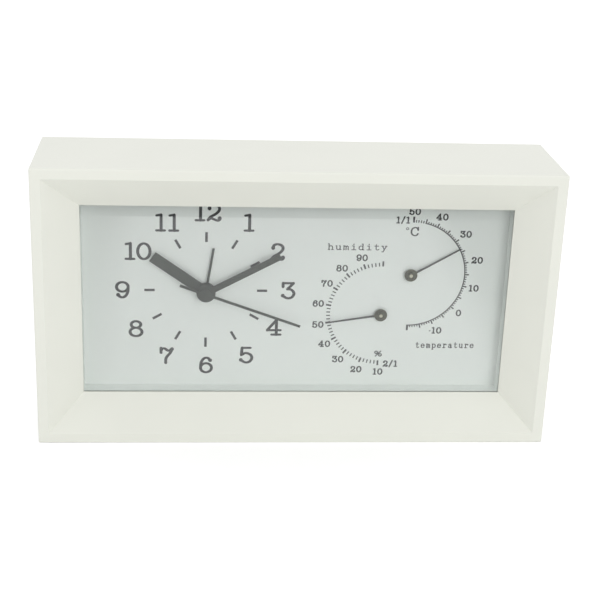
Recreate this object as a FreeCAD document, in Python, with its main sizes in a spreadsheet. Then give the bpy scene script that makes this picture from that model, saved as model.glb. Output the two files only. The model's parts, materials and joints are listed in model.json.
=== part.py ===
import FreeCAD, Part
import math
import os
import re

import Sketcher

# A table clock with a thermometer and a hygrometer on one wide dial.
# +X is to the right seen from the front, the front faces -Y, and +Z is up.
# The origin is at the middle of the flat underside.
# Depths are counted from the front rim towards the back.

SIZES = {
    # Case
    "case_long": 200.0,
    "case_deep": 47.0,
    "case_tall": 111.0,
    "case_wall": 3.0,
    "edge_round": 0.6,
    "front_rim": 4.0,
    "bezel_wide": 13.0,
    "bezel_deep": 11.0,
    "bezel_skin": 3.6,
    "lip_thick": 0.5,
    "land_thick": 1.5,
    "land_extra": 8.0,
    "post_side": 8.0,
    "boss_radius": 3.2,
    "boss_inset": 6.0,
    "boss_apart": 120.0,
    "overrun": 1.0,
    # Fits
    "part_gap": 0.3,
    "shaft_gap": 0.05,
    "screw_gap": 0.05,
    # Lens, spacer and dial
    "lens_thick": 1.0,
    "lens_overlap": 3.5,
    "recess_extra": 4.0,
    "spacer_deep": 6.0,
    "dial_thick": 1.0,
    "notch_gap": 0.6,
    "spindle_hole": 1.0,
    # Rear cover
    "cover_gap": 0.5,
    "cover_thick": 2.0,
    "vent_long": 34.0,
    "vent_tall": 2.4,
    "vent_pitch": 5.0,
    "vent_middle_right": 42.0,
    "vent_first_up": 42.0,
    "sound_hole": 0.9,
    "sound_ring": 3.0,
    "case_screw_head": 2.8,
    "case_screw_shank": 1.3,
    "case_screw_long": 10.0,
    "dial_screw_head": 2.4,
    "dial_screw_shank": 1.1,
    "dial_screw_long": 6.0,
    "head_thick": 1.2,
    "driver_slot": 0.5,
    # Battery door
    "door_wide": 57.0,
    "door_tall": 20.4,
    "door_pin_radius": 0.65,
    "door_pin_long": 1.6,
    "door_grip_wide": 12.0,
    "door_grip_tall": 1.2,
    # Places on the dial
    "clock_left": 35.15,
    "thermometer_right": 45.33,
    "thermometer_up": 7.41,
    "hygrometer_right": 34.27,
    "hygrometer_down": 9.53,
    # Clock movement case
    "movement_side": 56.0,
    "movement_deep": 18.0,
    "plate_thick": 1.2,
    "bay_wall": 1.2,
    "battery_bay_tall": 16.6,
    "movement_post": 4.4,
    "ear_side": 7.0,
    "ear_up": 12.0,
    "ear_thick": 1.5,
    "standoff_radius": 2.4,
    "standoff_long": 3.0,
    "mount_screw_head": 1.9,
    "mount_screw_shank": 0.9,
    "mount_screw_long": 3.6,
    "case_bolt_head": 1.4,
    "case_bolt_shank": 0.7,
    "bushing_radius": 3.1,
    "bushing_proud": 0.6,
    # Wheels: each layer holds one wheel and a gap
    "gear_clear": 0.3,
    "wheel_thick": 0.8,
    "layer_step": 1.2,
    "arbor_radius": 0.35,
    "rotor_module": 0.22,
    "step_module": 0.26,
    "second_module": 0.25,
    "motion_module": 0.375,
    "hour_module": 0.36,
    "alarm_module": 0.35,
    "second_arbor": 0.5,
    "tube_wall": 0.5,
    "setting_arbor": 0.6,
    "pivot_boss": 1.2,
    # Hands, counted forward from the dial
    "hand_thick": 0.3,
    "alarm_rise": 1.15,
    "hour_rise": 2.25,
    "minute_rise": 3.2,
    "second_rise": 4.55,
    "hour_hand_long": 25.4,
    "hour_hand_wide": 4.4,
    "minute_hand_long": 32.7,
    "minute_hand_wide": 2.55,
    "minute_tip_wide": 2.45,
    "second_hand_long": 39.4,
    "second_hand_tail": 10.8,
    "second_hand_wide": 1.0,
    "second_tail_wide": 1.06,
    "alarm_hand_long": 18.1,
    "alarm_hand_wide": 0.9,
    "hub_radius": 3.7,
    "second_hub_radius": 2.3,
    "hub_step": 0.3,
    # Motor and electronics
    "magnet_radius": 2.2,
    "magnet_thick": 2.0,
    "magnet_gap": 0.5,
    "stator_left": 17.0,
    "stator_right": 3.2,
    "stator_low": 8.0,
    "stator_tall": 16.5,
    "stator_arm": 3.4,
    "stator_thick": 0.8,
    "core_up": 22.0,
    "core_tall": 3.0,
    "core_thick": 0.8,
    "flange_radius": 3.6,
    "flange_thick": 0.8,
    "barrel_radius": 2.2,
    "winding_radius": 3.2,
    "board_left": 9.5,
    "board_low": 10.0,
    "board_wide": 12.0,
    "board_tall": 12.0,
    "board_thick": 1.0,
    "board_drop": 5.0,
    "chip_side": 5.0,
    "chip_thick": 1.0,
    "crystal_radius": 1.0,
    "crystal_long": 6.0,
    "crystal_foot": 0.8,
    "sounder_radius": 5.0,
    "sounder_thick": 4.0,
    "sounder_left": 20.8,
    "sounder_up": 1.6,
    "contact_spring_thick": 0.3,
    "contact_spring_wide": 2.0,
    # Battery and its contacts
    "battery_radius": 7.1,
    "battery_body": 49.0,
    "battery_nub": 1.5,
    "battery_nub_radius": 2.7,
    "contact_thick": 0.3,
    "contact_side": 11.0,
    "coil_wire": 0.7,
    "coil_large": 4.2,
    "coil_small": 2.6,
    # Knobs and switch at the back
    "knob_radius": 4.6,
    "flute_radius": 0.5,
    "knob_thick": 3.4,
    "knob_shaft": 1.5,
    "knob_clear": 0.8,
    "switch_right": 11.0,
    "switch_up": 4.5,
    "switch_travel": 4.0,
    "slider_long": 11.0,
    "slider_tall": 4.6,
    "slider_thick": 0.9,
    "stem_long": 4.0,
    "stem_tall": 2.4,
    "stem_proud": 2.5,
    # Thermometer and hygrometer works, alike but for their places
    "bracket_wide": 16.0,
    "bracket_tall": 10.0,
    "bracket_thick": 0.8,
    "pillar_reach": 7.3,
    "pillar_side": 1.6,
    "pillar_long": 4.6,
    "spindle_radius": 0.5,
    "collar_radius": 1.3,
    "strip_thick": 0.3,
    "strip_wide": 3.0,
    "strip_start": 1.6,
    "strip_pitch": 1.0,
    "strip_lift": 0.8,
    "sensor_screw_head": 1.4,
    "sensor_screw_shank": 0.8,
    "sensor_screw_apart": 12.6,
    "sensor_screw_long": 1.5,
    "pointer_long": 22.1,
    "pointer_wide": 0.8,
    "pointer_tip_wide": 0.5,
    "pointer_hub": 2.55,
    "pointer_cap": 1.15,
    "pointer_rise": 1.2,
    "pointer_dome": 0.7,
}

# Counts of teeth, windings and holes
COUNTS = {
    "rotor_teeth": 8,
    "step_teeth": 48,
    "step_pinion_teeth": 8,
    "second_teeth": 40,
    "second_pinion_teeth": 8,
    "third_teeth": 60,
    "third_pinion_teeth": 8,
    "centre_teeth": 64,
    "cannon_teeth": 12,
    "motion_teeth": 36,
    "motion_pinion_teeth": 10,
    "hour_teeth": 40,
    "alarm_pinion_teeth": 14,
    "alarm_teeth": 42,
}
VENTS = 7
SOUND_HOLES = 6
STRIP_HALF_TURNS = 9
SPRING_HALF_TURNS = 6
DOOR_GRIPS = 3
KNOB_FLUTES = 12

# Directions of the arbors round the clock's centre, anticlockwise from the right
THIRD_DEGREES = -5
MOTION_DEGREES = 190
STEP_DEGREES = 110
ALARM_DEGREES = 60
ROTOR_DEGREES = 100

# Hands, clockwise from 12, and pointers, anticlockwise from the right
HOUR_DEGREES = 305.15
MINUTE_DEGREES = 61.8
SECOND_DEGREES = 109.6
ALARM_HAND_DEGREES = 9.0
THERMOMETER_DEGREES = 30.2
HYGROMETER_DEGREES = 188.9

# A tooth, in modules and in shares of the pitch
TIP_SHARE = 0.85
ROOT_SHARE = 1.2
TOOTH_PITCH_SHARE = 0.38
TOOTH_TIP_SHARE = 0.16
TOOTH_ROOT_SHARE = 0.5

# How far up the circuit board its two bosses are
BOARD_BOSS_SHARES = (0.15, 0.85)

# Formulas of the sizes
PLACES = {
    "half_deep": "case_deep / 2",
    "window_inset": "front_rim + bezel_wide",
    "window_long": "case_long - 2 * window_inset",
    "window_tall": "case_tall - 2 * window_inset",
    "recess_tall": "window_tall + recess_extra",
    "dial_middle": "window_inset + recess_tall / 2",
    "lip_rear": "bezel_deep + lip_thick",
    "land_front": "lip_rear - land_thick",
    "lens_rear": "lip_rear + lens_thick",
    "dial_front": "lens_rear + spacer_deep",
    "dial_rear": "dial_front + dial_thick",
    "skin_front": "(case_wall - front_rim + bezel_skin) * bezel_deep / bezel_wide",
    "skin_inset": "front_rim + bezel_wide * land_front / bezel_deep - bezel_skin",
    "movement_rear": "dial_rear + movement_deep",
    "chamber_front": "dial_rear + plate_thick",
    "chamber_rear": "movement_rear - plate_thick",
    "gear_front": "chamber_front + gear_clear",
    "cover_front": "movement_rear + cover_gap",
    "cover_rear": "cover_front + cover_thick",
    "inner_long": "case_long - 2 * case_wall",
    "inner_tall": "case_tall - 2 * case_wall",
    "post_right": "case_long / 2 - case_wall - post_side / 2",
    "post_low": "case_wall + post_side / 2",
    "lens_long": "window_long + 2 * lens_overlap",
    "lens_tall": "recess_tall + 2 * lens_overlap",
    "half_movement": "movement_side / 2",
    "bay_low": "-half_movement + bay_wall",
    "bay_top": "bay_low + battery_bay_tall",
    "bay_middle": "bay_low + battery_bay_tall / 2",
    "bay_long": "movement_side - 2 * bay_wall",
    "chamber_low": "bay_top + bay_wall",
    "chamber_tall": "half_movement - bay_wall - chamber_low",
    "chamber_middle": "chamber_low + chamber_tall / 2",
    "ear_right": "half_movement + ear_side / 2",
    "minute_bore": "second_arbor + shaft_gap",
    "minute_tube": "minute_bore + tube_wall",
    "hour_bore": "minute_tube + shaft_gap",
    "hour_tube": "hour_bore + tube_wall",
    "alarm_bore": "hour_tube + shaft_gap",
    "alarm_tube": "alarm_bore + tube_wall",
    "bushing_bore": "alarm_tube + shaft_gap",
    "step_reach": "(step_pinion_teeth + second_teeth) * step_module / 2",
    "third_reach": "(second_pinion_teeth + third_teeth) * second_module / 2",
    "rotor_reach": "(rotor_teeth + step_teeth) * rotor_module / 2",
    "motion_reach": "(cannon_teeth + motion_teeth) * motion_module / 2",
    "alarm_reach": "(alarm_pinion_teeth + alarm_teeth) * alarm_module / 2",
    "pin_depth": "cover_front + cover_thick / 2",
    "pin_up": "cover_thick / 2 - door_tall / 2 + part_gap",
    "battery_deep": "cover_front - part_gap - battery_radius",
    "strip_deep": "dial_rear + bracket_thick + strip_lift",
}

FACING = FreeCAD.Rotation(FreeCAD.Vector(1, 0, 0), 90)
UPRIGHT = FreeCAD.Vector(0, 0, 1)

doc = FreeCAD.newDocument("weather_clock")
sheet = doc.addObject("Spreadsheet::Sheet", "dims")
for row, (name, amount) in enumerate(SIZES.items(), start=1):
    sheet.set(f"A{row}", str(amount))
    sheet.setAlias(f"A{row}", name)
doc.recompute()

nodes = []


def size(name):
    """Read one driving size, in millimetres."""
    return float(sheet.get(name))


def bind(formula):
    """Turn the names in a formula into the sheet's cells."""

    def cell(found):
        word = found.group()
        if word in PLACES:
            return "(" + bind(PLACES[word]) + ")"
        if word in COUNTS:
            return str(COUNTS[word])
        if word in SIZES:
            return "dims." + word
        return word

    return re.sub(r"[a-z][a-z_]*", cell, formula)


def tie(item, **formulas):
    """Bind properties of an object to formulas of the named sizes."""
    for path, formula in formulas.items():
        item.setExpression(path, bind(formula))


def stand(item, x="0", y="0", z="0"):
    """Bind where a feature starts in its own piece's frame."""
    for axis, formula in zip("xyz", (x, y, z)):
        item.setExpression(f"Placement.Base.{axis}", bind(formula))


def seat(item, x="0", height="0", depth="0", turn=0):
    """Face a piece to the front, with its own zero plane at a depth.

    Seen from the front, the piece's x is to the right, its y is up, and
    its z comes forward. turn is anticlockwise, in degrees.
    """
    turned = FACING.multiply(FreeCAD.Rotation(UPRIGHT, turn))
    item.Placement = FreeCAD.Placement(FreeCAD.Vector(0, 0, 0), turned)
    stand(item, x, f"({depth}) - half_deep", height)
    nodes.append(item)
    return item


def body(label):
    """Start a piece made of part design features."""
    piece = doc.addObject("PartDesign::Body", label)
    piece.Label = label
    return piece


def block(piece, name, at, spans, cut=False):
    """A box, centred in x and y on a place, that rises from its z."""
    kind = "SubtractiveBox" if cut else "AdditiveBox"
    item = piece.newObject("PartDesign::" + kind, name)
    wide, tall, deep = spans
    tie(item, Length=wide, Width=tall, Height=deep)
    x, y, z = at
    stand(item, f"({x}) - ({wide}) / 2", f"({y}) - ({tall}) / 2", z)
    return item


def disc(piece, name, at, radius, deep, cut=False):
    """A cylinder along z that rises from a place."""
    kind = "SubtractiveCylinder" if cut else "AdditiveCylinder"
    item = piece.newObject("PartDesign::" + kind, name)
    tie(item, Radius=radius, Height=deep)
    stand(item, *at)
    return item


def frustum(piece, name, at, rear, front, deep, cut=False):
    """A block with sloped sides: its rear and front are (wide, tall)."""
    kind = "SubtractiveWedge" if cut else "AdditiveWedge"
    item = piece.newObject("PartDesign::" + kind, name)
    tie(item, Xmin=f"-({rear[0]}) / 2", Xmax=f"({rear[0]}) / 2")
    tie(item, Zmin=f"-({rear[1]}) / 2", Zmax=f"({rear[1]}) / 2")
    tie(item, X2min=f"-({front[0]}) / 2", X2max=f"({front[0]}) / 2")
    tie(item, Z2min=f"-({front[1]}) / 2", Z2max=f"({front[1]}) / 2")
    tie(item, Ymin="0", Ymax=deep)
    item.Placement = FreeCAD.Placement(FreeCAD.Vector(0, 0, 0), FACING)
    stand(item, *at)
    return item


def outline(piece, name, corners, deep, z="0"):
    """Pad a closed outline of straight edges through (x, y) formulas."""
    sketch = piece.newObject("Sketcher::SketchObject", name + "_sketch")
    planes = [item for item in piece.Origin.OriginFeatures if item.Role == "XY_Plane"]
    sketch.AttachmentSupport = [(planes[0], "")]
    sketch.MapMode = "FlatFace"
    sketch.setExpression("AttachmentOffset.Base.z", bind(z))
    count = len(corners)
    start = [FreeCAD.Vector(math.cos(step * math.tau / count), math.sin(step * math.tau / count), 0)
             for step in range(count)]
    for step in range(count):
        sketch.addGeometry(Part.LineSegment(start[step], start[(step + 1) % count]), False)
    for step, (x, y) in enumerate(corners):
        sketch.addConstraint(Sketcher.Constraint("Coincident", (step - 1) % count, 2, step, 1))
        for kind, formula in (("DistanceX", x), ("DistanceY", y)):
            spot = sketch.addConstraint(Sketcher.Constraint(kind, -1, 1, step, 1, 0.0))
            sketch.setExpression(f"Constraints[{spot}]", bind(formula))
    pad = piece.newObject("PartDesign::Pad", name)
    pad.Profile = sketch
    pad.setExpression("Length", bind(deep))
    return pad


def rod(at, radius, long, along=UPRIGHT):
    """A plain cylinder, along z unless told otherwise."""
    item = doc.addObject("Part::Cylinder", "rod")
    tie(item, Radius=radius, Height=long)
    item.Placement = FreeCAD.Placement(FreeCAD.Vector(0, 0, 0), FreeCAD.Rotation(UPRIGHT, along))
    stand(item, *at)
    return item


def bar(at, spans):
    """A plain box, centred in x and y on a place, that rises from its z."""
    item = doc.addObject("Part::Box", "bar")
    wide, tall, deep = spans
    tie(item, Length=wide, Width=tall, Height=deep)
    x, y, z = at
    stand(item, f"({x}) - ({wide}) / 2", f"({y}) - ({tall}) / 2", z)
    return item


def joined(items):
    """One solid of several plain shapes."""
    if len(items) == 1:
        return items[0]
    item = doc.addObject("Part::MultiFuse", "joined")
    item.Shapes = items
    return item


def made(label, items, holes=()):
    """A piece of plain shapes, less the shapes of its holes."""
    whole = joined(list(items))
    if holes:
        cut = doc.addObject("Part::Cut", label)
        cut.Base = whole
        cut.Tool = joined(list(holes))
        whole = cut
    whole.Label = label
    return whole


def polar(reach, degrees, start=("0", "0")):
    """A place at a reach and a direction from a start."""
    x, y = start
    return f"{x} + ({reach}) * cos({degrees})", f"{y} + ({reach}) * sin({degrees})"


STEP_AT = polar("step_reach", STEP_DEGREES)
THIRD_AT = polar("third_reach", THIRD_DEGREES)
MOTION_AT = polar("motion_reach", MOTION_DEGREES)
ALARM_AT = polar("alarm_reach", ALARM_DEGREES)
ROTOR_AT = polar("rotor_reach", ROTOR_DEGREES, STEP_AT)
CLOCK_AXIS = ("-clock_left", "dial_middle")


def from_clock(at):
    """A place near the clock's axis, in the whole object's frame."""
    return f"-clock_left + ({at[0]})", f"dial_middle + ({at[1]})"


# The case


def make_case():
    """One moulded shell: flat rim, sloped bezel, window, posts and bosses."""
    shell = body("case_shell")
    middle = "case_tall / 2"
    outside = block(shell, "outside", ("0", middle, "0"),
                    ("case_long", "case_tall", "case_deep"))
    doc.recompute()
    rounded = shell.newObject("PartDesign::Fillet", "soft_edges")
    rounded.Base = (outside, [f"Edge{number}" for number in range(1, 13)])
    tie(rounded, Radius="edge_round")
    block(shell, "cavity", ("0", middle, "-overrun"),
          ("inner_long", "inner_tall", "case_deep - skin_front + overrun"), cut=True)
    frustum(shell, "bezel_back", ("0", middle, "case_deep - land_front"),
            ("case_long - 2 * skin_inset", "case_tall - 2 * skin_inset"),
            ("inner_long", "inner_tall"), "land_front - skin_front")
    land = "2 * (window_inset - land_extra)"
    block(shell, "land", ("0", middle, "case_deep - lip_rear"),
          (f"case_long - {land}", f"case_tall - {land}", "land_thick"))
    for side in ("-", ""):
        for up in ("post_low", "case_tall - post_low"):
            block(shell, "post", (f"{side}post_right", up, "case_deep - cover_front"),
                  ("post_side", "post_side", "cover_front - land_front"))
        for up in ("boss_inset", "case_tall - boss_inset"):
            disc(shell, "dial_boss", (f"{side}boss_apart / 2", up, "case_deep - dial_front"),
                 "boss_radius", "dial_front - bezel_deep / 2")
    frustum(shell, "bezel", ("0", middle, "case_deep - bezel_deep"),
            ("window_long", "window_tall"),
            ("case_long - 2 * front_rim", "case_tall - 2 * front_rim"), "bezel_deep", cut=True)
    block(shell, "window", ("0", middle, "case_deep - lip_rear - overrun"),
          ("window_long", "window_tall", "lip_thick + 2 * overrun"), cut=True)
    for side in ("-", ""):
        for up in ("post_low", "case_tall - post_low"):
            disc(shell, "cover_pilot", (f"{side}post_right", up, "case_deep - cover_front - overrun"),
                 "case_screw_shank + screw_gap", "case_screw_long + 2 * overrun", cut=True)
        for up in ("boss_inset", "case_tall - boss_inset"):
            disc(shell, "dial_pilot",
                 (f"{side}boss_apart / 2", up, "case_deep - dial_front - overrun"),
                 "dial_screw_shank + screw_gap", "dial_screw_long - dial_thick + 2 * overrun",
                 cut=True)
    seat(shell, depth="case_deep")


def make_lens():
    """The clear flat lens, held behind the lip of the window."""
    lens = body("lens")
    block(lens, "sheet", ("0", "0", "0"), ("lens_long", "lens_tall", "lens_thick"))
    seat(lens, height="dial_middle", depth="lens_rear")


def make_spacer():
    """The ring that keeps the dial off the lens and walls the recess."""
    ring = body("dial_spacer")
    block(ring, "ring", ("0", "0", "0"), ("lens_long", "lens_tall", "spacer_deep"))
    block(ring, "recess", ("0", "0", "-overrun"),
          ("window_long", "recess_tall", "spacer_deep + 2 * overrun"), cut=True)
    seat(ring, height="dial_middle", depth="dial_front")


def make_dial():
    """The dial plate, notched at the corners for the posts."""
    dial = body("dial_plate")
    half_long = "(inner_long / 2 - part_gap)"
    half_tall = "(inner_tall / 2 - part_gap)"
    notch = "(post_side + notch_gap)"
    corners = []
    for across, up, first in ((1, 1, "y"), (-1, 1, "x"), (-1, -1, "y"), (1, -1, "x")):
        outer_x = f"{across} * {half_long}"
        outer_y = f"{up} * {half_tall}"
        inner_x = f"{across} * ({half_long} - {notch})"
        inner_y = f"{up} * ({half_tall} - {notch})"
        along = [(outer_x, inner_y), (inner_x, inner_y), (inner_x, outer_y)]
        corners += along if first == "y" else along[::-1]
    outline(dial, "plate", corners, "dial_thick")
    up = "dial_middle - case_tall / 2"
    for side in ("-1", "1"):
        standoff = (f"-clock_left + {side} * ear_right", f"{up} + ear_up")
        disc(dial, "standoff", (*standoff, "-standoff_long"), "standoff_radius",
             "standoff_long + dial_thick / 2")
        disc(dial, "standoff_pilot", (*standoff, "-standoff_long - overrun"),
             "mount_screw_shank + screw_gap", "standoff_long + overrun", cut=True)
        for edge in ("-1", "1"):
            disc(dial, "dial_screw_hole",
                 (f"{side} * boss_apart / 2", f"{edge} * (case_tall / 2 - boss_inset)", "-overrun"),
                 "dial_screw_shank + screw_gap", "dial_thick + 2 * overrun", cut=True)
    disc(dial, "clock_hole", ("-clock_left", up, "-overrun"), "bushing_radius + part_gap / 2",
         "dial_thick + 2 * overrun", cut=True)
    for right, above in (("thermometer_right", "thermometer_up"),
                         ("hygrometer_right", "-hygrometer_down")):
        disc(dial, "spindle_hole", (right, f"{up} + {above}", "-overrun"), "spindle_hole",
             "dial_thick + 2 * overrun", cut=True)
        for side in ("-1", "1"):
            disc(dial, "sensor_pilot",
                 (f"{right} + {side} * sensor_screw_apart / 2", f"{up} + {above}", "-overrun"),
                 "sensor_screw_shank + screw_gap",
                 "sensor_screw_long - bracket_thick + part_gap / 3 + overrun", cut=True)
    seat(dial, height="case_tall / 2", depth="dial_rear")


def screw_group(label, places, head, shank, long, depth, head_deep="head_thick"):
    """Alike screws driven from behind, each a separate solid."""
    screws = []
    for x, height in places:
        screw = doc.addObject("Part::Cut", "screw")
        screw.Base = joined([rod((x, height, "0"), shank, long),
                             rod((x, height, f"-({head_deep})"), head, head_deep)])
        screw.Tool = bar((x, height, f"-({head_deep}) - overrun"),
                         (f"2 * ({head}) + overrun", "driver_slot",
                          f"({head_deep}) / 2 + overrun"))
        screws.append(screw)
    group = doc.addObject("Part::Compound", label)
    group.Links = screws
    group.Label = label
    seat(group, depth=depth)


def make_case_screws():
    """Four screws hold the dial, and four hold the rear cover."""
    dial_spots = [(f"{side} * boss_apart / 2", up) for side in ("-1", "1")
                  for up in ("boss_inset", "case_tall - boss_inset")]
    screw_group("dial_screws", dial_spots, "dial_screw_head", "dial_screw_shank",
                "dial_screw_long", "dial_rear")
    post_spots = [(f"{side} * post_right", up) for side in ("-1", "1")
                  for up in ("post_low", "case_tall - post_low")]
    screw_group("rear_cover_screws", post_spots, "case_screw_head", "case_screw_shank",
                "case_screw_long", "cover_rear")


def make_rear_cover():
    """The rear cover, with vents, sound holes and openings for the controls."""
    cover = body("rear_cover")
    through = "cover_thick + 2 * overrun"
    block(cover, "panel", ("0", "case_tall / 2", "0"),
          ("inner_long - 2 * part_gap", "inner_tall - 2 * part_gap", "cover_thick"))
    for side in ("-1", "1"):
        for up in ("post_low", "case_tall - post_low"):
            disc(cover, "screw_hole", (f"{side} * post_right", up, "-overrun"),
                 "case_screw_shank + screw_gap", through, cut=True)
    for at in (MOTION_AT, ALARM_AT):
        disc(cover, "knob_hole", (*from_clock(at), "-overrun"), "knob_shaft + 2 * part_gap",
             through, cut=True)
    slot = from_clock(("switch_right + switch_travel / 2", "switch_up"))
    block(cover, "switch_slot", (*slot, "-overrun"),
          ("stem_long + switch_travel + 2 * part_gap", "stem_tall + 2 * part_gap", through),
          cut=True)
    door = from_clock(("0", "bay_middle"))
    block(cover, "battery_opening", (*door, "-overrun"), ("door_wide", "door_tall", through),
          cut=True)
    for side in ("-1", "1"):
        socket = cover.newObject("PartDesign::SubtractiveCylinder", "hinge_socket")
        tie(socket, Radius="door_pin_radius + 2 * shaft_gap", Height="door_pin_long + part_gap")
        turned = FreeCAD.Rotation(FreeCAD.Vector(0, 1, 0), 90 * int(side))
        socket.Placement = FreeCAD.Placement(FreeCAD.Vector(0, 0, 0), turned)
        stand(socket, f"-clock_left + {side} * door_wide / 2", f"{door[1]} + pin_up",
              "cover_thick / 2")
    for number in range(VENTS):
        block(cover, "vent", ("vent_middle_right", f"vent_first_up + {number} * vent_pitch",
                              "-overrun"), ("vent_long", "vent_tall", through), cut=True)
    sounder = from_clock(("-sounder_left", "sounder_up"))
    disc(cover, "sound_hole", (*sounder, "-overrun"), "sound_hole", through, cut=True)
    for number in range(SOUND_HOLES):
        spot = polar("sound_ring", number * 360 // SOUND_HOLES, sounder)
        disc(cover, "sound_hole", (*spot, "-overrun"), "sound_hole", through, cut=True)
    seat(cover, depth="cover_rear")


def make_battery_door():
    """A lid with a round lower edge and two pins of one piece with it."""
    door = body("battery_door")
    wide = "door_wide - 2 * part_gap"
    tall = "door_tall - 2 * part_gap - cover_thick / 2"
    block(door, "lid", ("0", f"({tall}) / 2", "-cover_thick / 2"), (wide, tall, "cover_thick"))
    edge = door.newObject("PartDesign::AdditiveCylinder", "round_edge")
    tie(edge, Radius="cover_thick / 2", Height=wide)
    across = FreeCAD.Rotation(FreeCAD.Vector(0, 1, 0), 90)
    edge.Placement = FreeCAD.Placement(FreeCAD.Vector(0, 0, 0), across)
    stand(edge, f"-({wide}) / 2", "0", "0")
    pins = door.newObject("PartDesign::AdditiveCylinder", "pins")
    tie(pins, Radius="door_pin_radius", Height=f"{wide} + 2 * door_pin_long")
    pins.Placement = FreeCAD.Placement(FreeCAD.Vector(0, 0, 0), across)
    stand(pins, f"-({wide}) / 2 - door_pin_long", "0", "0")
    for number in range(DOOR_GRIPS):
        block(door, "grip", ("0", f"({tall}) - (2 + 2 * {number}) * door_grip_tall",
                             "-cover_thick / 2 - door_grip_tall / 2"),
              ("door_grip_wide", "door_grip_tall", "door_grip_tall"))
    x, height = from_clock(("0", "bay_middle"))
    seat(door, x, f"{height} + pin_up", "pin_depth")


# The clock movement: its own zero plane is the front of the first wheel


def layer(number):
    """Where the rear face of a wheel on this layer lies."""
    return f"-({number} * layer_step + wheel_thick)"


def toothed(module, teeth, number, at=("0", "0"), phase=0, extra="0"):
    """A wheel or pinion with straight flanks, on one layer of the train.

    One tooth points at phase, in degrees. extra adds to its thickness,
    evenly on both sides.
    """
    pitch_radius = size(module) * COUNTS[teeth] / 2
    tip = pitch_radius + TIP_SHARE * size(module)
    root = pitch_radius - ROOT_SHARE * size(module)
    turn = math.tau / COUNTS[teeth]
    corners = []
    for tooth in range(COUNTS[teeth]):
        middle = math.radians(phase) + tooth * turn
        for radius, share in ((root, -TOOTH_ROOT_SHARE), (pitch_radius, -TOOTH_PITCH_SHARE),
                              (tip, -TOOTH_TIP_SHARE), (tip, TOOTH_TIP_SHARE),
                              (pitch_radius, TOOTH_PITCH_SHARE), (root, TOOTH_ROOT_SHARE)):
            angle = middle + share * turn / 2
            corners.append(FreeCAD.Vector(radius * math.cos(angle), radius * math.sin(angle), 0))
    face = Part.Face(Part.makePolygon(corners + corners[:1]))
    more = size(extra) if extra in SIZES else 0
    thick = size("wheel_thick") + 2 * more
    wheel = doc.addObject("Part::Feature", teeth.replace("_teeth", "_rim"))
    wheel.Shape = face.extrude(FreeCAD.Vector(0, 0, thick))
    stand(wheel, *at, f"{layer(number)} - {extra}")
    return wheel


def facing_gap(degrees, teeth):
    """The phase that turns a gap, not a tooth, to a direction."""
    return degrees + 180 / COUNTS[teeth]


def make_train():
    """Seconds train: rotor, step, second, third and centre wheels."""
    rotor = [
        toothed("rotor_module", "rotor_teeth", 7, phase=ROTOR_DEGREES + 180, extra="shaft_gap"),
        rod(("0", "0", f"{layer(8)} - magnet_thick + wheel_thick"), "magnet_radius",
            "magnet_thick"),
        rod(("0", "0", f"{layer(8)} - magnet_thick"), "arbor_radius",
            "magnet_thick + 2 * layer_step"),
    ]
    seat(made("rotor", rotor), *from_clock(ROTOR_AT), "gear_front")
    step = [
        toothed("rotor_module", "step_teeth", 7,
                phase=facing_gap(ROTOR_DEGREES, "step_teeth")),
        toothed("step_module", "step_pinion_teeth", 5, phase=STEP_DEGREES + 180,
                extra="shaft_gap"),
        rod(("0", "0", f"{layer(8)} - layer_step"), "arbor_radius", "5 * layer_step + wheel_thick"),
    ]
    seat(made("step_wheel", step), *from_clock(STEP_AT), "gear_front")
    second = [
        toothed("step_module", "second_teeth", 5,
                phase=facing_gap(STEP_DEGREES, "second_teeth")),
        toothed("second_module", "second_pinion_teeth", 6, phase=THIRD_DEGREES,
                extra="shaft_gap"),
        rod(("0", "0", f"{layer(8)} - layer_step"), "second_arbor",
            f"gear_front - dial_front + second_rise + hand_thick / 2 - ({layer(8)} - layer_step)"),
    ]
    seat(made("second_wheel", second), *CLOCK_AXIS, "gear_front")
    third = [
        toothed("second_module", "third_teeth", 6,
                phase=facing_gap(THIRD_DEGREES + 180, "third_teeth")),
        third_pinion(),
        rod(("0", "0", f"{layer(8)} - layer_step"), "arbor_radius",
            f"gear_clear + plate_thick / 2 - ({layer(8)} - layer_step)"),
    ]
    seat(made("third_wheel", third), *from_clock(THIRD_AT), "gear_front")
    centre_rim = centre_wheel_rim()
    bore = rod(("0", "0", f"{layer(3)} - overrun"), "minute_tube + shaft_gap",
               "wheel_thick + 2 * overrun")
    seat(made("centre_wheel", [centre_rim], [bore]), *CLOCK_AXIS, "gear_front")


def third_module():
    """The module that lets the third pinion and centre wheel share the third's reach."""
    reach = (COUNTS["second_pinion_teeth"] + COUNTS["third_teeth"]) * size("second_module")
    return reach / (COUNTS["third_pinion_teeth"] + COUNTS["centre_teeth"])


def derived_wheel(module, teeth, number, phase, extra="0"):
    """A toothed wheel whose module is worked out from a shared reach."""
    named = size("second_module")
    wheel = toothed("second_module", teeth, number, phase=phase, extra=extra)
    scaled = wheel.Shape.copy()
    matrix = FreeCAD.Matrix()
    matrix.scale(FreeCAD.Vector(module / named, module / named, 1))
    place = wheel.Placement
    scaled.Placement = FreeCAD.Placement()
    wheel.Shape = scaled.transformGeometry(matrix)
    wheel.Placement = place
    return wheel


def third_pinion():
    """The third wheel's pinion, which drives the centre wheel."""
    return derived_wheel(third_module(), "third_pinion_teeth", 3, THIRD_DEGREES + 180,
                         "shaft_gap")


def centre_wheel_rim():
    """The toothed rim of the centre wheel."""
    return derived_wheel(third_module(), "centre_teeth", 3,
                         facing_gap(THIRD_DEGREES, "centre_teeth"))


def hand_tube(number, rise, radius):
    """A tube's outside, from a wheel's layer to the front of its hand."""
    long = f"gear_front - dial_front + {rise} + hand_thick - ({layer(number)})"
    return rod(("0", "0", layer(number)), radius, long)


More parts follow.
